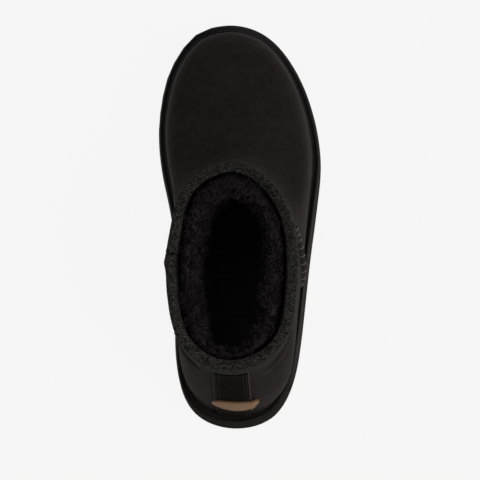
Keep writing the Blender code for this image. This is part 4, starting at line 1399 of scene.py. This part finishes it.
    def lock_points(self, line, lean, width):
        """The corners of each lock's rings, round its middle line."""
        way = unit(np.gradient(line, axis=1))
        first = unit(np.cross(way, lean[:, None] + np.array([0.01, 0.02, 0.03])))
        second = np.cross(way, first)
        turns = np.arange(self.LOCK_SIDES) * 2 * math.pi / self.LOCK_SIDES
        corners = [line + width * (math.cos(turn) * first + math.sin(turn) * second) for turn in turns]
        return np.stack(corners, axis=2).reshape(-1, 3)

    def lock_faces(self):
        """The triangles of one lock: its two ends and the sides between its rings."""
        sides, last = self.LOCK_SIDES, (self.LOCK_RINGS - 1) * self.LOCK_SIDES
        faces = [(2, 1, 0), (last, last + 1, last + 2)]
        for ring in range(0, last, sides):
            for k in range(sides):
                a, b = ring + k, ring + (k + 1) % sides
                faces += [(a, b, b + sides), (a, b + sides, a + sides)]
        return np.array(faces)


class BOOT_OT_footbed(bpy.types.Operator):
    """Makes the fleece of the loose insole"""

    bl_idname = "boot.footbed"
    bl_label = "Fleece insole"

    def execute(self, context):
        settings = context.scene.boot.fleece
        bed = copy_node("insole", "fleece_insole", sharp=60.0)
        subdivide(bed, 3)
        points, normals = points_of(bed), normals_of(bed)
        lift = np.abs(uneven(points, (1.3 * MM, 260.0))) + uneven(points, (0.7 * MM, 90.0))
        top = soft_step(0.3, 0.9, normals[:, 2])
        points[:, 2] += lift * top
        set_points(bed, points)
        # Painted shade in the dips of the fleece, lighter on its raised lumps.
        set_attribute(bed, "tip", 0.1 + 0.3 * lift / MM * top)
        finish_piece(bed, fleece_material(settings), "black_fleece", "insole")
        return {"FINISHED"}


class BOOT_PT_panel(bpy.types.Panel):
    """The boot's settings and the steps that make it"""

    bl_label = "Sheepskin Ankle Boot"
    bl_idname = "BOOT_PT_panel"
    bl_space_type = "VIEW_3D"
    bl_region_type = "UI"
    bl_category = "Boot"

    def draw(self, context):
        for operator in STEPS:
            self.layout.operator(operator.bl_idname, text=operator.bl_label)
        for group in BootSettings.__annotations__:
            box = self.layout.box()
            box.label(text=group.capitalize())
            settings = getattr(context.scene.boot, group)
            for name in type(settings).__annotations__:
                box.prop(settings, name)


GROUPS = (
    BootStageSettings, BootUpperSettings, BootTapeSettings, BootSeamSettings, BootFleeceSettings,
    BootSoleSettings, BootBadgeSettings, BootSettings,
)
STEPS = (
    BOOT_OT_stage, BOOT_OT_sole, BOOT_OT_upper, BOOT_OT_tape, BOOT_OT_seams, BOOT_OT_stay, BOOT_OT_badge,
    BOOT_OT_lining, BOOT_OT_footbed,
)


def register():
    for made in GROUPS + STEPS + (BOOT_PT_panel,):
        bpy.utils.register_class(made)
    bpy.types.Scene.boot = PointerProperty(type=BootSettings)


def unregister():
    del bpy.types.Scene.boot
    for made in reversed(GROUPS + STEPS + (BOOT_PT_panel,)):
        bpy.utils.unregister_class(made)


def main():
    """Makes every piece in order."""
    global COLLAR
    register()
    COLLAR = Collar()
    for operator in STEPS:
        group, name = operator.bl_idname.split(".")
        getattr(getattr(bpy.ops, group), name)()
    bpy.context.view_layer.update()


if __name__ == "__main__":
    main()
